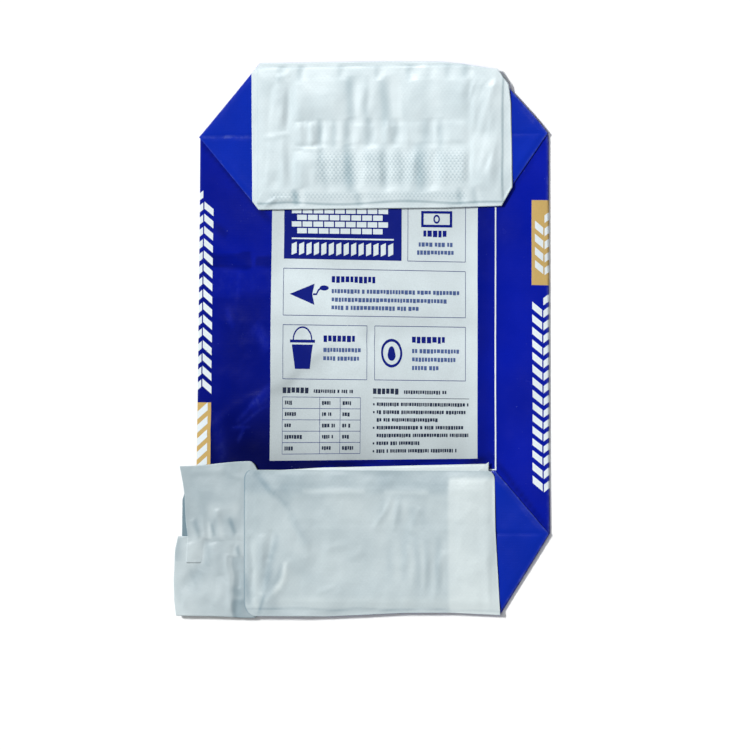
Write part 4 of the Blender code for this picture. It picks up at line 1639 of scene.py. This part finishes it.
class VALVE_BAG_OT_ends(bpy.types.Operator):
    """Fold both ends over onto the tube"""

    bl_idname = "valve_bag.ends"
    bl_label = "Fold ends"

    def execute(self, context):
        build_end("plain_end_fold", PLAIN_END, PLAIN_BOW, 1, 31)
        build_end("sleeve_end_fold", SLEEVE_END, SLEEVE_BOW, -1, 37)
        return {"FINISHED"}


class VALVE_BAG_OT_plain_end_patch(bpy.types.Operator):
    """Cover the plain end with its patch"""

    bl_idname = "valve_bag.plain_end_patch"
    bl_label = "Cover plain end"

    def execute(self, context):
        build_plain_end_patch()
        return {"FINISHED"}


class VALVE_BAG_OT_sleeve_end_patch(bpy.types.Operator):
    """Cover the sleeve end with its patch"""

    bl_idname = "valve_bag.sleeve_end_patch"
    bl_label = "Cover sleeve end"

    def execute(self, context):
        build_sleeve_end_patch()
        return {"FINISHED"}


class VALVE_BAG_OT_sleeve(bpy.types.Operator):
    """Make the flat filling sleeve"""

    bl_idname = "valve_bag.sleeve"
    bl_label = "Make sleeve"

    def execute(self, context):
        build_sleeve()
        return {"FINISHED"}


class VALVE_BAG_OT_stage(bpy.types.Operator):
    """Set the floor, the lights, the world and the camera"""

    bl_idname = "valve_bag.stage"
    bl_label = "Set stage"

    def execute(self, context):
        build_stage()
        return {"FINISHED"}


OPERATORS = (
    VALVE_BAG_OT_stage,
    VALVE_BAG_OT_tube,
    VALVE_BAG_OT_print,
    VALVE_BAG_OT_ends,
    VALVE_BAG_OT_sleeve,
    VALVE_BAG_OT_plain_end_patch,
    VALVE_BAG_OT_sleeve_end_patch,
)
SETTINGS = {
    "valve_bag_sizes": ValveBagSizes,
    "valve_bag_colours": ValveBagColours,
    "valve_bag_stage": ValveBagStage,
}


class VALVE_BAG_PT_sidebar(bpy.types.Panel):
    """Lists the bag's settings and the steps that build it"""

    bl_idname = "VALVE_BAG_PT_sidebar"
    bl_label = "Valve bag"
    bl_space_type = "VIEW_3D"
    bl_region_type = "UI"
    bl_category = "Valve bag"

    def draw(self, context):
        for name in SETTINGS:
            settings = getattr(context.scene, name)
            box = self.layout.box()
            for label in settings.bl_rna.properties.keys():
                if label not in ("rna_type", "name"):
                    box.prop(settings, label)
        for step in OPERATORS:
            self.layout.operator(step.bl_idname)


def register():
    for kind in (*SETTINGS.values(), *OPERATORS, VALVE_BAG_PT_sidebar):
        bpy.utils.register_class(kind)
    for name, kind in SETTINGS.items():
        setattr(bpy.types.Scene, name, PointerProperty(type=kind))


def unregister():
    for name in SETTINGS:
        delattr(bpy.types.Scene, name)
    for kind in (VALVE_BAG_PT_sidebar, *OPERATORS, *SETTINGS.values()):
        bpy.utils.unregister_class(kind)


def main():
    """Build every piece in order."""
    register()
    for step in OPERATORS:
        getattr(bpy.ops.valve_bag, step.bl_idname.split(".")[1])()


if __name__ == "__main__":
    main()
